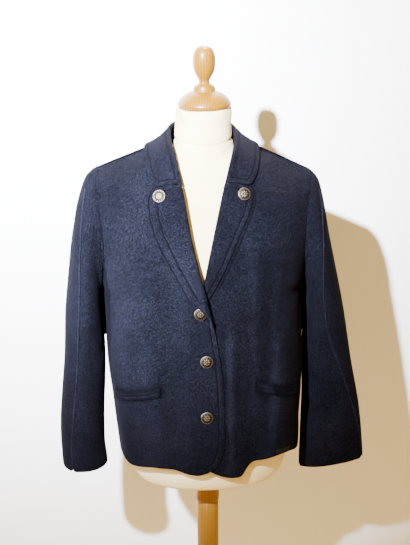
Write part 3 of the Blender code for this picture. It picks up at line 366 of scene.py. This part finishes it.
# %% Move the cloth of the sleeves
# the sleeve's axis: height, and how far its middle lies beside and in front of the body's middle
SLEEVE_AXES = {
    "right": ((0.645, -0.2385, -0.006), (0.760, -0.2385, -0.005), (0.860, -0.2330, -0.002),
              (0.960, -0.2285, 0.000), (1.060, -0.2230, 0.003), (1.220, -0.2080, 0.005)),
    "left": ((0.640, 0.2400, -0.012), (0.760, 0.2330, -0.008), (0.860, 0.2250, -0.004),
             (0.960, 0.2170, -0.001), (1.060, 0.2100, 0.002), (1.210, 0.1980, 0.005)),
}
SLEEVE_RADIUS = 0.045    # turns degrees round a sleeve into a length along its cloth
for side, word in ((-1, "right"), (1, "left")):
    axis = np.array(SLEEVE_AXES[word])
    for half in ("front", "back"):
        piece = walls[f"sleeve_{word}_{half}"]
        points = points_of(piece)
        middle_x = np.interp(points[:, 2], axis[:, 0], axis[:, 1])
        middle_y = np.interp(points[:, 2], axis[:, 0], axis[:, 2])
        out_x, out_y = points[:, 0] - middle_x, points[:, 1] - middle_y
        reach = np.maximum(np.hypot(out_x, out_y), 0.001)
        turn = np.arctan2(-out_y, side * out_x)
        rows = [(math.radians(a) * SLEEVE_RADIUS, z_a, math.radians(b) * SLEEVE_RADIUS, z_b, width, depth)
                for z_a, a, z_b, b, width, depth in SLEEVE_CREASES[word]]
        out = along_creases(points, turn * SLEEVE_RADIUS, points[:, 2], rows)
        out += unevenness(points * [1, 1, 0.6], 0.0024, 0.060, 4 + side)
        out *= smooth_share(points[:, 2], 1.17, 1.10)
        clear_of_body = 1 - 0.85 * smooth_share(-side * out_x / reach, 0.5, 0.95)
        out = np.where(out > 0, out * clear_of_body, out)
        points[:, 0] += out * out_x / reach
        points[:, 1] += out * out_y / reach
        set_points(piece, points)
        print(piece.name, "moved by up to", round(float(np.abs(out).max()) * 1000, 1), "mm")

# %% [markdown]
# ## Topstitched edges
#
# The front edges, lapels, collar and welts are turned in and stitched down about 8 mm from the edge. The
# line of stitches pulls a shallow groove into the felt, and the band beyond it stays round. Each point of
# a piece gets its distance to the stitched edge. From it the points on the line are pressed into the
# wall, a real groove, and the wool finish paints shade into that groove and the felt beside it.

# %% Measure each point's distance to the stitched edges
RIM_NEAR = 0.0016        # a point this close to the rim lies on it
RIM_FAR = 0.020          # nothing further along the cloth than this is measured


def point_index(places):
    """Finds the nearest of many places quickly."""
    index = KDTree(len(places))
    for k, place in enumerate(places):
        index.insert(place, k)
    index.balance()
    return index


def rim_points(node, keep, step=0.0015):
    """Points close together along the narrow rim of a solid's wall, where keep(x, y, z) holds."""
    cloth = merged_copy(node)
    found = []
    for edge in cloth.edges:
        if len(edge.link_faces) != 2 or edge.calc_face_angle(0) < math.radians(55):
            continue
        a, b = edge.verts[0].co, edge.verts[1].co
        count = max(1, int((b - a).length / step))
        found += [a.lerp(b, k / count) for k in range(count + 1) if keep(*a.lerp(b, k / count))]
    cloth.free()
    return found


def mark_distance(piece, rim):
    """Stores how far each point lies from the rim; a point that only faces the rim across a gap is far."""
    index = point_index(rim)
    points = points_of(piece)
    straight = np.array([index.find(p)[2] for p in points])
    ties = [[] for _ in points]
    for a, b in (edge.vertices for edge in piece.data.edges):
        length = float(np.linalg.norm(points[a] - points[b]))
        ties[a].append((b, length))
        ties[b].append((a, length))
    along = np.full(len(points), 1.0)
    queue = [(float(straight[k]), int(k)) for k in np.nonzero(straight < RIM_NEAR)[0]]
    for reach, k in queue:
        along[k] = reach
    heapq.heapify(queue)
    while queue:
        reach, k = heapq.heappop(queue)
        if reach > along[k] or reach > RIM_FAR:
            continue
        for other, length in ties[k]:
            if reach + length < along[other]:
                along[other] = reach + length
                heapq.heappush(queue, (reach + length, other))
    distance = np.where(along < 1.5 * straight + 0.003, straight, 1.0)
    store(piece, "from_edge", distance)
    return distance

# %% Press the stitched lines into the cloth
GROOVE_DEPTH = 0.0007    # how far the stitches pull the cloth in, and over what width
GROOVE_WIDTH = 0.0017
FRONT_SIDE = -0.060      # the stitched rims of the fronts lie in front of this, up to the collar's seam
COLLAR_SEAM = 1.2100
LAPEL_FOOT = 0.97        # above this height the whole rim is stitched, below it the front edge alone


def press_in(piece, depths):
    """Moves each point of a piece into its wall, against the way that its surface faces."""
    set_points(piece, points_of(piece) - read_all(piece.data.vertices, "normal") * depths[:, None])


def stitch_down(piece, rim):
    distance = mark_distance(piece, rim)
    press_in(piece, GROOVE_DEPTH * np.exp(-((distance - BAND) / GROOVE_WIDTH) ** 2))


def on_front(y, z, at_edge):
    return (at_edge or z > LAPEL_FOOT) and y < FRONT_SIDE and z <= COLLAR_SEAM


STITCHED = {
    "front_right": lambda x, y, z: on_front(y, z, x > -0.030),
    "front_left": lambda x, y, z: on_front(y, z, x < 0.015),
    "collar": lambda x, y, z: z < 1.2920,
    "pocket_welt_right": lambda x, y, z: True,
    "pocket_welt_left": lambda x, y, z: True,
}
for node in ("front_right", "front_left", "collar"):
    rim = rim_points(node, STITCHED[node])
    stitch_down(walls[node], rim)
    print(node, "rim points", len(rim))

# %% [markdown]
# A pocket welt is a narrow folded strip, sewn on over the pocket's mouth. It is a soft wall like the
# panels, and it is stitched all round.

# %% Pocket welts
for word in ("right", "left"):
    node = "pocket_welt_" + word
    walls[node] = as_object("felted_" + node, merged_copy(node), wool, LEVELS)
    stand_for(walls[node], "navy_boiled_wool", node)
    stitch_down(walls[node], rim_points(node, STITCHED[node]))
    print(node, "faces", len(walls[node].data.polygons))

# %% [markdown]
# ## Seams
#
# Where two pieces are sewn together their walls stop a little short of each other. A cord of the same felt
# fills the seam: the turned edges lie in it. Along the overarm seam, which is topstitched, it stands up as
# a low ridge, and that cord's felt is painted paler, a painted highlight for the light that the ridge
# catches. A cord follows the middle of the places where two solids come close.

# %% A smooth line, and the middle of a seam
SEAM_REACH = 0.0048      # corners of two solids that are closer than this are sewn together
SEAM_STEP = 0.0050       # corners within this of each other give one point of the seam


def smooth_line(points, steps, straight_from=1.0):
    """A finer line through points, rounded between them unless they lie far apart."""
    points = np.array(points)
    gone = np.concatenate(([0], np.cumsum(np.linalg.norm(np.diff(points, axis=0), axis=1))))
    slopes = np.gradient(points, gone, axis=0)
    fine = [points[0]]
    for k in range(len(points) - 1):
        span = gone[k + 1] - gone[k]
        for t in np.arange(1, steps + 1) / steps:
            if span > straight_from:
                fine.append(points[k] * (1 - t) + points[k + 1] * t)
                continue
            eased = t * t * (3 - 2 * t)
            fine.append(points[k] * (1 - eased) + points[k + 1] * eased
                        + slopes[k] * span * t * (1 - t) ** 2 + slopes[k + 1] * span * t * t * (t - 1))
    return np.array(fine)


def seam_path(node_a, node_b, keep):
    """The middle of the seam between two solids, from its lowest point up."""
    index = point_index([vert.co for vert in nodes[node_b].data.vertices])
    middles = []
    for vert in nodes[node_a].data.vertices:
        place, _, gap = index.find(vert.co)
        if gap < SEAM_REACH and keep(*vert.co):
            middles.append((vert.co + place) / 2)
    path = []
    while middles:
        group = [p for p in middles if (p - middles[0]).length < SEAM_STEP]
        middles = [p for p in middles if (p - middles[0]).length >= SEAM_STEP]
        path.append(sum(group, Vector()) / len(group))
    return sorted(path, key=lambda p: p.z)

# %% A cord, and a piece's skin to lay it on
def cord(name, path, radius, finish, sides=8):
    """A round cord along a path: circles across it, bridged one after another, with closed ends."""
    line = smooth_line(path, 4)
    felt = bmesh.new()
    circles = []
    side = None
    for place, way in zip(line, np.gradient(line, axis=0)):
        way = Vector(way).normalized()
        side = (side - way * side.dot(way)) if side else way.orthogonal()
        side.normalize()
        across = Matrix((side, way.cross(side), way)).transposed().to_4x4()
        bmesh.ops.create_circle(felt, cap_ends=False, segments=sides, radius=radius,
                                matrix=Matrix.Translation(place) @ across)
        circles.append(felt.edges[:][-sides:])
    for lower, upper in zip(circles, circles[1:]):
        bmesh.ops.bridge_loops(felt, edges=lower + upper)
    bmesh.ops.holes_fill(felt, edges=[e for e in felt.edges if e.is_boundary], sides=0)
    bmesh.ops.recalc_face_normals(felt, faces=felt.faces)
    return as_object(name, felt, finish)


def skin_of(piece):
    """Finds the nearest place on a piece's surface."""
    return BVHTree.FromPolygons([Vector(p) for p in points_of(piece)],
                                [tuple(f.vertices) for f in piece.data.polygons])

# %% Cords in the seams
# two solids, where along them the seam is kept, its radius and how far it stands out from the middle;
# {} stands for right and for left
SEAM_ROWS = (
    ("front_{}", "sleeve_{}_front", lambda x, y, z: True, 0.0019, 0.0),
    ("back", "sleeve_{}_back", lambda x, y, z: True, 0.0019, 0.0),
    ("back", "front_{}", lambda x, y, z: z < 1.02, 0.0017, 0.0),
    ("back", "front_{}", lambda x, y, z: z > 1.10, 0.0019, 0.0),
    ("sleeve_{}_front", "sleeve_{}_back", lambda x, y, z: x < -0.215 or x > 0.205, 0.0019, 0.0006),
)
SEAMS = [(a.format(w), b.format(w), *rest) for a, b, *rest in SEAM_ROWS for w in ("right", "left")]
ASIDE = 0.012            # a raised cord is looked for on the cloth this far out of the seam
sewn = []
for k, (node_a, node_b, keep, radius, out) in enumerate(SEAMS):
    path = seam_path(node_a, node_b, keep)
    if out:
        skin = skin_of(walls[node_a])
        ways = [Vector((math.copysign(0.7, p.x), -0.7, 0)) for p in path]
        path = [skin.find_nearest(p + way * ASIDE)[0] + way * out for p, way in zip(path, ways)]
    else:
        sewn += [Vector(p) for p in smooth_line(path, 4)]
    # the raised overarm cord gets the paler wool, a painted highlight on its ridge
    seam = cord(f"felted_seam_{k + 1}", path, radius, ridge_highlight_wool if out else wool)
    stand_for(seam, "navy_boiled_wool")
    print("seam", node_a, node_b, "points", len(path), "faces", len(seam.data.polygons))

# %% [markdown]
# Stitches draw the cloth in. Beside each seam, and round each welt, the panels sink a little, and less
# light reaches the bottom of that hollow. The points are moved, and an attribute darkens the wool there.

# %% Sink the cloth beside the seams
SEAM_WIDTH = 0.0050      # the hollow beside a seam fades out over this
SEAM_SHADE = 0.75        # how much of the light its bottom loses
SEAM_DEPTH = 0.0012
for word in ("right", "left"):
    sewn += rim_points("pocket_welt_" + word, STITCHED["pocket_welt_" + word])
index = point_index(sewn)
for node, piece in walls.items():
    away = np.array([index.find(p)[2] for p in points_of(piece)])
    share = np.exp(-(away / SEAM_WIDTH) ** 2)
    store(piece, "in_seam", SEAM_SHADE * share)
    if not node.startswith("pocket"):
        press_in(piece, SEAM_DEPTH * share)
print("points along seams and welts", len(sewn))

# %% [markdown]
# ## The tag at the hem
#
# A short woven tape is caught in the lower edge of the left front. Its warp runs along it, so a fine wave
# across its width gives the satin ribs of such a tape. It is left bare.

# %% Woven tape
RIB = 0.0016             # one rib of the satin
tape, tree, shader = new_finish("grey_woven_tape_satin")
place = add_node(tree, "TexCoord").outputs["Object"]
ribs = add_node(tree, "TexWave", {"wave_type": "BANDS", "bands_direction": "X", "Scale": 1 / RIB},
                {"Vector": place})
shades = add_node(tree, "ValToRGB", {"stops": [(0.2, "#040405"), (0.8, "#0c0d12")]},
                  {"Fac": ribs.outputs["Fac"]})
bump = add_node(tree, "Bump", {"Strength": 0.4, "Distance": 0.0002}, {"Height": ribs.outputs["Fac"]})
set_shader(tree, shader, {"Roughness": 0.70, "Specular IOR Level": 0.15},
           {"Base Color": shades.outputs[0], "Normal": bump.outputs[0]})
tag = as_object("tape_hem_tag", merged_copy("hem_tab"), tape, LEVELS)
stand_for(tag, "grey_woven_tape", "hem_tab")
print("tag faces", len(tag.data.polygons))

# %% [markdown]
# ## Cast pewter buttons
#
# Each button is cast, domed a little, with a rope rim, a ring of beads and a flower of eight petals in low
# relief. The metal is dark in the hollows, where tarnish stays, and bright on the raised parts that hands
# rub. A disc is spun from a domed profile, and the relief is a height worked out at each of its points.

# %% Antique pewter
BLOTCH = 0.0030          # patches of tarnish
pewter, tree, shader = new_finish("antique_pewter_cast")
relief = add_node(tree, "Attribute", {"attribute_name": "relief"}).outputs["Fac"]
place = add_node(tree, "TexCoord").outputs["Object"]
blotch = add_node(tree, "TexNoise", {"Scale": 1 / BLOTCH, "Detail": 3.0}, {"Vector": place}).outputs["Fac"]
worn = add_node(tree, "Math", {"operation": "MULTIPLY_ADD", 1: 0.30, 2: -0.15}, {0: blotch})
worn = add_node(tree, "Math", {"operation": "ADD"}, {0: worn.outputs[0], 1: relief})
patina = add_node(tree, "ValToRGB", {"stops": [(0.10, "#1b1813"), (0.45, "#3e372a"), (0.85, "#8a7e68")]},
                  {"Fac": worn.outputs[0]})
tree.links.new(patina.outputs[0], shader.inputs["Base Color"])
shader.inputs["Metallic"].default_value = 0.9
shader.inputs["Roughness"].default_value = 0.42

# %% Spin the buttons
BUTTON_RADIUS = 0.0115
BUTTON_DOME = 0.0034
RELIEF = 0.00055         # height of the highest parts of the pattern


def button_relief(share, angle):
    """Height of the relief, from 0 to 1, at a share of the radius and an angle."""
    rim = math.exp(-((share - 0.93) / 0.045) ** 2) * (0.75 + 0.25 * math.cos(40 * angle))
    beads = math.exp(-((share - 0.76) / 0.050) ** 2) * max(0.0, math.cos(14 * angle)) ** 0.8
    petal = (0.35 + 0.65 * max(0.0, math.cos(8 * angle)) ** 0.6) * math.exp(-((share - 0.38) / 0.18) ** 2)
    centre = math.exp(-(share / 0.13) ** 2)
    return min(1.0, rim + 0.8 * beads + 0.85 * petal + 0.9 * centre)


def spun_button(name, centre, outward):
    disc = bmesh.new()
    rings = 30
    for k in range(rings + 1):
        share = 0.02 + 0.98 * k / rings
        height = BUTTON_DOME * (1.0 - 0.62 * share ** 2.4)
        disc.verts.new((BUTTON_RADIUS * share, 0, height))
    for share, height in ((1.02, 0.30), (1.0, 0.12), (0.90, 0.0), (0.02, 0.0)):
        disc.verts.new((BUTTON_RADIUS * share, 0, BUTTON_DOME * height))
    disc.verts.ensure_lookup_table()
    edges = [disc.edges.new((a, b)) for a, b in zip(disc.verts[:-1], disc.verts[1:])]
    bmesh.ops.spin(disc, geom=disc.verts[:] + edges, cent=(0, 0, 0), axis=(0, 0, 1), dvec=(0, 0, 0),
                   angle=2 * math.pi, steps=120, use_merge=True, use_duplicate=False)
    bmesh.ops.remove_doubles(disc, verts=disc.verts, dist=1e-6)
    bmesh.ops.holes_fill(disc, edges=[e for e in disc.edges if e.is_boundary], sides=0)
    bmesh.ops.recalc_face_normals(disc, faces=disc.faces)
    heights = []
    for vert in disc.verts:
        share = math.hypot(vert.co.x, vert.co.y) / BUTTON_RADIUS
        top = vert.co.z > 0.35 * BUTTON_DOME
        height = button_relief(share, math.atan2(vert.co.y, vert.co.x)) if top else 0.3
        vert.co.z += RELIEF * height if top else 0.0
        heights.append(height)
    turn = outward.to_track_quat("Z", "Y").to_matrix().to_4x4()
    bmesh.ops.transform(disc, matrix=Matrix.Translation(centre) @ turn, verts=disc.verts)
    piece = as_object(name, disc, pewter)
    store(piece, "relief", heights)
    return piece


for node in ("button_front_1", "button_front_2", "button_front_3", "button_lapel_right",
             "button_lapel_left"):
    solid = read_all(nodes[node].data.vertices, "co")
    middle = solid.mean(axis=0)
    _, _, ways = np.linalg.svd(solid - middle)
    outward = Vector(ways[2] if ways[2][1] < 0 else -ways[2])
    low = min(float(np.dot(p - middle, outward)) for p in solid)
    button = spun_button("pewter_" + node, Vector(middle) + outward * low, outward)
    stand_for(button, "antique_pewter", node)
    print(node, "faces", len(button.data.polygons))

# %% [markdown]
# Each front button comes through a worked slit, whose end shows beside it on the wearer's right. Two thin
# cords, one above and one below the slit, stand for the beads of thread that are sewn round it.

# %% Buttonholes
HOLE_REACH = 0.0150      # from the button's middle to the end of its hole
HOLE_RADIUS = 0.0009     # the bead of thread that is sewn round the slit
HOLE_HALF = 0.0008       # how far each bead lies above or below the slit
AHEAD = 0.006            # the cloth is looked for from this far in front of the button's middle
skin = skin_of(walls["front_right"])
for k in (1, 2, 3):
    middle = Vector(read_all(nodes[f"button_front_{k}"].data.vertices, "co").mean(axis=0))
    for half, height in (("upper", HOLE_HALF), ("lower", -HOLE_HALF)):
        path = [skin.find_nearest(middle + Vector((-HOLE_REACH * share, -AHEAD, height)))[0]
                for share in (0.35, 0.50, 0.65, 0.80, 0.92, 1.00)]
        bead = cord(f"buttonhole_{k}_{half}", path, HOLE_RADIUS, wool)
        stand_for(bead, "navy_boiled_wool")
    print("buttonhole", k, "at height", round(middle.z, 3))

# %% [markdown]
# ## The dress form
#
# The torso is a papier-mache shell covered in cream cotton, drawn tight. A seam runs round the base of the
# neck, where the neck's tube of cloth joins the yoke.

# %% Cotton cover
THREAD = 0.0010          # thread spacing, drawn about twice the real one so that it shows
STAINS = 9.0             # slow changes of shade in a metre
cotton, tree, shader = new_finish("cream_cotton_cover_woven")
place = add_node(tree, "TexCoord").outputs["Object"]
turned = add_node(tree, "Mapping", {"Rotation": (0, 0, math.radians(45))}, {"Vector": place})
up = add_node(tree, "TexWave", {"wave_type": "BANDS", "bands_direction": "Z", "Scale": 0.5 / THREAD},
              {"Vector": place}).outputs["Fac"]
round_ = add_node(tree, "TexWave", {"wave_type": "BANDS", "bands_direction": "X", "Scale": 0.5 / THREAD},
                  {"Vector": turned.outputs[0]}).outputs["Fac"]
weave = add_node(tree, "Math", {"operation": "MULTIPLY"}, {0: up, 1: round_})
stain = add_node(tree, "TexNoise", {"Scale": STAINS, "Detail": 3.0}, {"Vector": place}).outputs["Fac"]
shade = add_node(tree, "ValToRGB", {"stops": [(0.3, "#dfcb90"), (0.7, "#ecdba8")]}, {"Fac": stain})
bump = add_node(tree, "Bump", {"Strength": 0.25, "Distance": 0.0002}, {"Height": weave.outputs[0]})
set_shader(tree, shader, {"Roughness": 0.85, "Sheen Weight": 0.10},
           {"Base Color": shade.outputs[0], "Normal": bump.outputs[0]})
torso = as_object("cotton_torso", merged_copy("form_torso"), cotton, 3)
stand_for(torso, "cream_cotton_cloth", "form_torso")

# %% [markdown]
# The neck's seam is a shallow groove. It runs level at the sides and dips in front and behind, so its
# height is worked out for each point, and points near it are drawn towards the neck's axis.

# %% Draw in the neck's seam
NECK_MIDDLE = -0.003
NECK_HALF = 0.055        # from the neck's middle to where the seam runs level
SEAM_HEIGHT, SEAM_DIP = 1.282, 0.0075
NECK_GROOVE, GROOVE_SPREAD = 0.0022, 0.0026
points = points_of(torso)
seam_z = SEAM_HEIGHT - SEAM_DIP * np.cos(np.clip(points[:, 0] / NECK_HALF, -1, 1) * 1.57)
groove = NECK_GROOVE * np.exp(-((points[:, 2] - seam_z) / GROOVE_SPREAD) ** 2)
away = np.maximum(np.hypot(points[:, 0] - NECK_MIDDLE, points[:, 1]), 0.01)
points[:, 0] -= groove * (points[:, 0] - NECK_MIDDLE) / away
points[:, 1] -= groove * points[:, 1] / away
set_points(torso, points)
print("points drawn in by over a millimetre:", int((groove > 0.001).sum()))

# %% [markdown]
# ## Turned wood
#
# The neck cap and its egg-shaped finial are beech, turned on a lathe and varnished honey yellow; the pole
# and foot are stained darker. Turned wood shows its grain along the axis, so the rings of the tree are
# stretched along Z.

# %% Varnished beech
RING = 0.0040            # spacing of the year rings
FLECK = 0.0011           # the short dark flecks of beech


def make_beech(name, dark, light, roughness):
    finish, tree, shader = new_finish(name)
    place = add_node(tree, "TexCoord").outputs["Object"]
    long = add_node(tree, "Mapping", {"Scale": (1.0, 1.0, 0.12)}, {"Vector": place})
    bend = add_node(tree, "TexNoise", {"Scale": 22.0, "Detail": 3.0}, {"Vector": long.outputs[0]})
    grain = add_node(tree, "TexWave", {"wave_type": "BANDS", "bands_direction": "X", "Scale": 0.45 / RING,
                                       "Distortion": 3.0, "Detail": 2.0}, {"Vector": long.outputs[0]})
    flecks = add_node(tree, "TexNoise", {"Scale": 1 / FLECK, "Detail": 2.0}, {"Vector": long.outputs[0]})
    part = add_node(tree, "Math", {"operation": "MULTIPLY", 1: 0.45}, {0: grain.outputs["Fac"]})
    more = add_node(tree, "Math", {"operation": "MULTIPLY_ADD", 1: 0.30}, {0: flecks.outputs["Fac"],
                                                                        2: part.outputs[0]})
    all_ = add_node(tree, "Math", {"operation": "MULTIPLY_ADD", 1: 0.35}, {0: bend.outputs["Fac"],
                                                                        2: more.outputs[0]})
    colours = add_node(tree, "ValToRGB", {"stops": [(0.25, dark), (0.75, light)]}, {"Fac": all_.outputs[0]})
    bump = add_node(tree, "Bump", {"Strength": 0.10, "Distance": 0.0002}, {"Height": all_.outputs[0]})
    set_shader(tree, shader,
               {"Roughness": roughness, "Specular IOR Level": 0.20, "Coat Weight": 0.10,
                "Coat Roughness": 0.18},
               {"Base Color": colours.outputs[0], "Normal": bump.outputs[0]})
    return finish


honey = make_beech("honey_varnished_beech_turned", "#4a2f00", "#7c5400", 0.38)
chestnut = make_beech("chestnut_varnished_beech_turned", "#6c4a0c", "#986c18", 0.42)
print("nodes in the wood:", len(honey.node_tree.nodes))

# %% [markdown]
# A lathe cuts one outline all round, and so does bmesh's spin. Each outline below has only the points that
# its shape needs; the line between them is rounded, apart from long straight stretches.

# %% Spin the wooden pieces
STRAIGHT_FROM = 0.020    # points further apart than this are joined by a straight line
# radius and height, down each piece's outer side
WOOD = {
    "finial": (honey, "honey_varnished_beech", (
        (0.0070, 1.4500), (0.0140, 1.4465), (0.0185, 1.4390), (0.0210, 1.4260), (0.0208, 1.4160),
        (0.0185, 1.4040), (0.0140, 1.3950), (0.0102, 1.3880), (0.0100, 1.3830), (0.0135, 1.3800),
        (0.0160, 1.3783))),
    "neck_cap": (honey, "honey_varnished_beech", (
        (0.0185, 1.3780), (0.0200, 1.3735), (0.0210, 1.3690), (0.0300, 1.3650), (0.0415, 1.3570),
        (0.0480, 1.3480), (0.0495, 1.3430), (0.0475, 1.3385), (0.0420, 1.3353))),
    "pole_collar": (chestnut, "chestnut_varnished_beech", (
        (0.0205, 0.6127), (0.0225, 0.6100), (0.0228, 0.5600), (0.0215, 0.5565), (0.0205, 0.5555))),
    "pole": (chestnut, "chestnut_varnished_beech", (
        (0.0195, 0.5552), (0.0212, 0.5535), (0.0208, 0.4200), (0.0200, 0.2000), (0.0205, 0.0500),
        (0.0205, 0.0283))),
    "foot": (chestnut, "chestnut_varnished_beech", (
        (0.0300, 0.0280), (0.1100, 0.0250), (0.1660, 0.0200), (0.1735, 0.0165), (0.1760, 0.0110),
        (0.1750, 0.0040), (0.1715, 0.0000))),
}


def turned_wood(name, outline, finish):
    """Spins an outline, with both ends closed."""
    fine = smooth_line(outline, 4, STRAIGHT_FROM)
    lathe = bmesh.new()
    path = [(0.0, outline[0][1])] + [tuple(p) for p in fine] + [(0.0, outline[-1][1])]
    verts = [lathe.verts.new((max(r, 0.0), 0, z)) for r, z in path]
    edges = [lathe.edges.new((a, b)) for a, b in zip(verts[:-1], verts[1:])]
    bmesh.ops.spin(lathe, geom=verts + edges, cent=(0, 0, 0), axis=(0, 0, 1), dvec=(0, 0, 0),
                   angle=2 * math.pi, steps=96, use_merge=True, use_duplicate=False)
    bmesh.ops.remove_doubles(lathe, verts=lathe.verts, dist=2e-6)
    bmesh.ops.recalc_face_normals(lathe, faces=lathe.faces)
    return as_object(name, lathe, finish)


for node, (finish, slot_name, outline) in WOOD.items():
    piece = turned_wood("turned_" + node, outline, finish)
    stand_for(piece, slot_name, node)
    print(node, "faces", len(piece.data.polygons))

# %% [markdown]
# ## The sheets of cloth
#
# Every piece of cloth was flat when it was cut. Its cut size is given here, with the area that the paper
# pattern covers, and what it hangs from.

CUT = {
    "front_right": (0.40, 0.65, ["form_torso"]),
    "front_left": (0.36, 0.65, ["form_torso"]),
    "back": (0.53, 0.66, ["form_torso"]),
    "sleeve_right_front": (0.17, 0.62, ["front_right"]),
    "sleeve_right_back": (0.25, 0.62, ["back"]),
    "sleeve_left_front": (0.16, 0.62, ["front_left"]),
    "sleeve_left_back": (0.25, 0.62, ["back"]),
    "collar": (0.48, 0.10, ["back"]),
    "pocket_welt_right": (0.085, 0.018, ["front_right"]),
    "pocket_welt_left": (0.085, 0.018, ["front_left"]),
}
for node, (width, length, carried_by) in CUT.items():
    # a wall has two faces, and a narrow strip's rims would make its half larger than its cut
    cloth = min(sum(face.area for face in walls[node].data.polygons) / 2, width * length)
    print(node, "cloth", round(cloth, 4), "square metres of", round(width * length, 4))

# %% [markdown]
# ## Room, light and camera
#
# The jacket stands before a pale wall, lit by one small lamp from the upper left, which throws a clear
# shadow, and by a weak one low on the left. A third, high against the wall, gives the back its shape.
# The paint is clear from behind, so that the back can be looked at too.

# %% Wall and floor
WALL_Y = 0.42            # the wall stands this far behind the jacket's middle


def plain_sheet(name, corners, finish):
    mesh = bmesh.new()
    mesh.faces.new([mesh.verts.new(c) for c in corners])
    as_object(name, mesh, finish)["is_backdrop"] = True


paint, tree, shader = new_finish("matt_white_wall_paint")
set_shader(tree, shader, {"Base Color": linear("#f4f2ee"), "Roughness": 0.95}, {})
behind = add_node(tree, "NewGeometry").outputs["Backfacing"]
clear = add_node(tree, "BsdfTransparent").outputs[0]
one_way = add_node(tree, "MixShader", {}, {0: behind, 1: shader.outputs[0], 2: clear})
tree.links.new(one_way.outputs[0], tree.nodes["Material Output"].inputs["Surface"])
boards, tree, shader = new_finish("pale_waxed_pine_boards")
set_shader(tree, shader, {"Base Color": linear("#e6cfa4"), "Roughness": 0.6}, {})
plain_sheet("room_wall", [(-3, WALL_Y, 0), (3, WALL_Y, 0), (3, WALL_Y, 3), (-3, WALL_Y, 3)], paint)
plain_sheet("room_floor", [(-3, -4, 0), (3, -4, 0), (3, WALL_Y, 0), (-3, WALL_Y, 0)], boards)
print("wall", WALL_Y, "m behind the middle")

# %% [markdown]
# A disc lamp's size sets how soft its shadows are, and its spread how wide its beam is. The first is small
# and bright. The room's own warm light fills what the lamps leave dark.

# %% Lamps
# place, where it points, size, watts, colour and the beam's whole angle in degrees
LAMPS = {
    "key_lamp": ((-1.00, -2.55, 2.58), (-0.42, 0.0, 1.60), 0.09, 140, "#e8eeff", 39.0),
    "side_lamp": ((-1.45, -0.45, 1.15), (-0.20, -0.27, 1.02), 0.20, 10.5, "#e4eaff", 28.0),
    "back_lamp": ((0.10, 0.38, 2.30), (0.0, 0.10, 1.05), 0.15, 8.0, "#fff0dc", 34.0),
}
for name, (place, aim, size, watts, colour, spread) in LAMPS.items():
    lamp = bpy.data.lights.new(name, "AREA")
    lamp.shape = "DISK"
    lamp.size = size
    lamp.spread = math.radians(spread)
    lamp.energy = watts
    lamp.color = linear(colour)[:3]
    made = bpy.data.objects.new(name, lamp)
    made.location = place
    made.rotation_euler = (Vector(aim) - Vector(place)).to_track_quat("-Z", "Y").to_euler()
    bpy.context.scene.collection.objects.link(made)
room = bpy.data.worlds.new("room_light")
bpy.context.scene.world = room
room.use_nodes = True
light = room.node_tree.nodes["Background"].inputs
light["Color"].default_value = linear("#ffd884")
light["Strength"].default_value = 1.18
print("lamps", len(LAMPS))

# %% [markdown]
# The camera looks down a little, from just left of the middle. Its focal length is given in pixels of the
# picture, so that it is the same whatever the sensor.

# %% Camera
# distance from the jacket, degrees round it and above it, and the height that it looks at
DISTANCE = 2.755
AROUND = math.radians(-4.0)
ABOVE = math.radians(15.5)
LOOKS_AT = Vector((0.0, 0.0, 1.022))
IMAGE_HEIGHT = 545.0     # the next two are in pixels of a picture this high
FOCAL_PIXELS = 1450.0
SHIFT_PIXELS = -0.8
ROLL = math.radians(-0.47)
SENSOR = 36.0
way_back = Vector((math.sin(AROUND) * math.cos(ABOVE), -math.cos(AROUND) * math.cos(ABOVE), math.sin(ABOVE)))
lens = bpy.data.cameras.new("camera")
lens.sensor_fit = "VERTICAL"
lens.sensor_height = SENSOR
lens.lens = FOCAL_PIXELS * SENSOR / IMAGE_HEIGHT
lens.shift_x = SHIFT_PIXELS / IMAGE_HEIGHT
camera = bpy.data.objects.new("camera", lens)
camera.location = LOOKS_AT + way_back * DISTANCE
camera.rotation_euler = way_back.to_track_quat("Z", "Y").to_euler()
camera.rotation_euler.rotate_axis("Z", ROLL)
bpy.context.scene.collection.objects.link(camera)
bpy.context.scene.camera = camera
print("camera at", [round(v, 3) for v in camera.location])

# %% [markdown]
# Last, the box of the dressed jacket, without the wall and floor, is printed.

# %% Print the box of the dressed jacket
low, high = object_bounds()
print("visual box", [round(v, 3) for v in (*low, *high)])
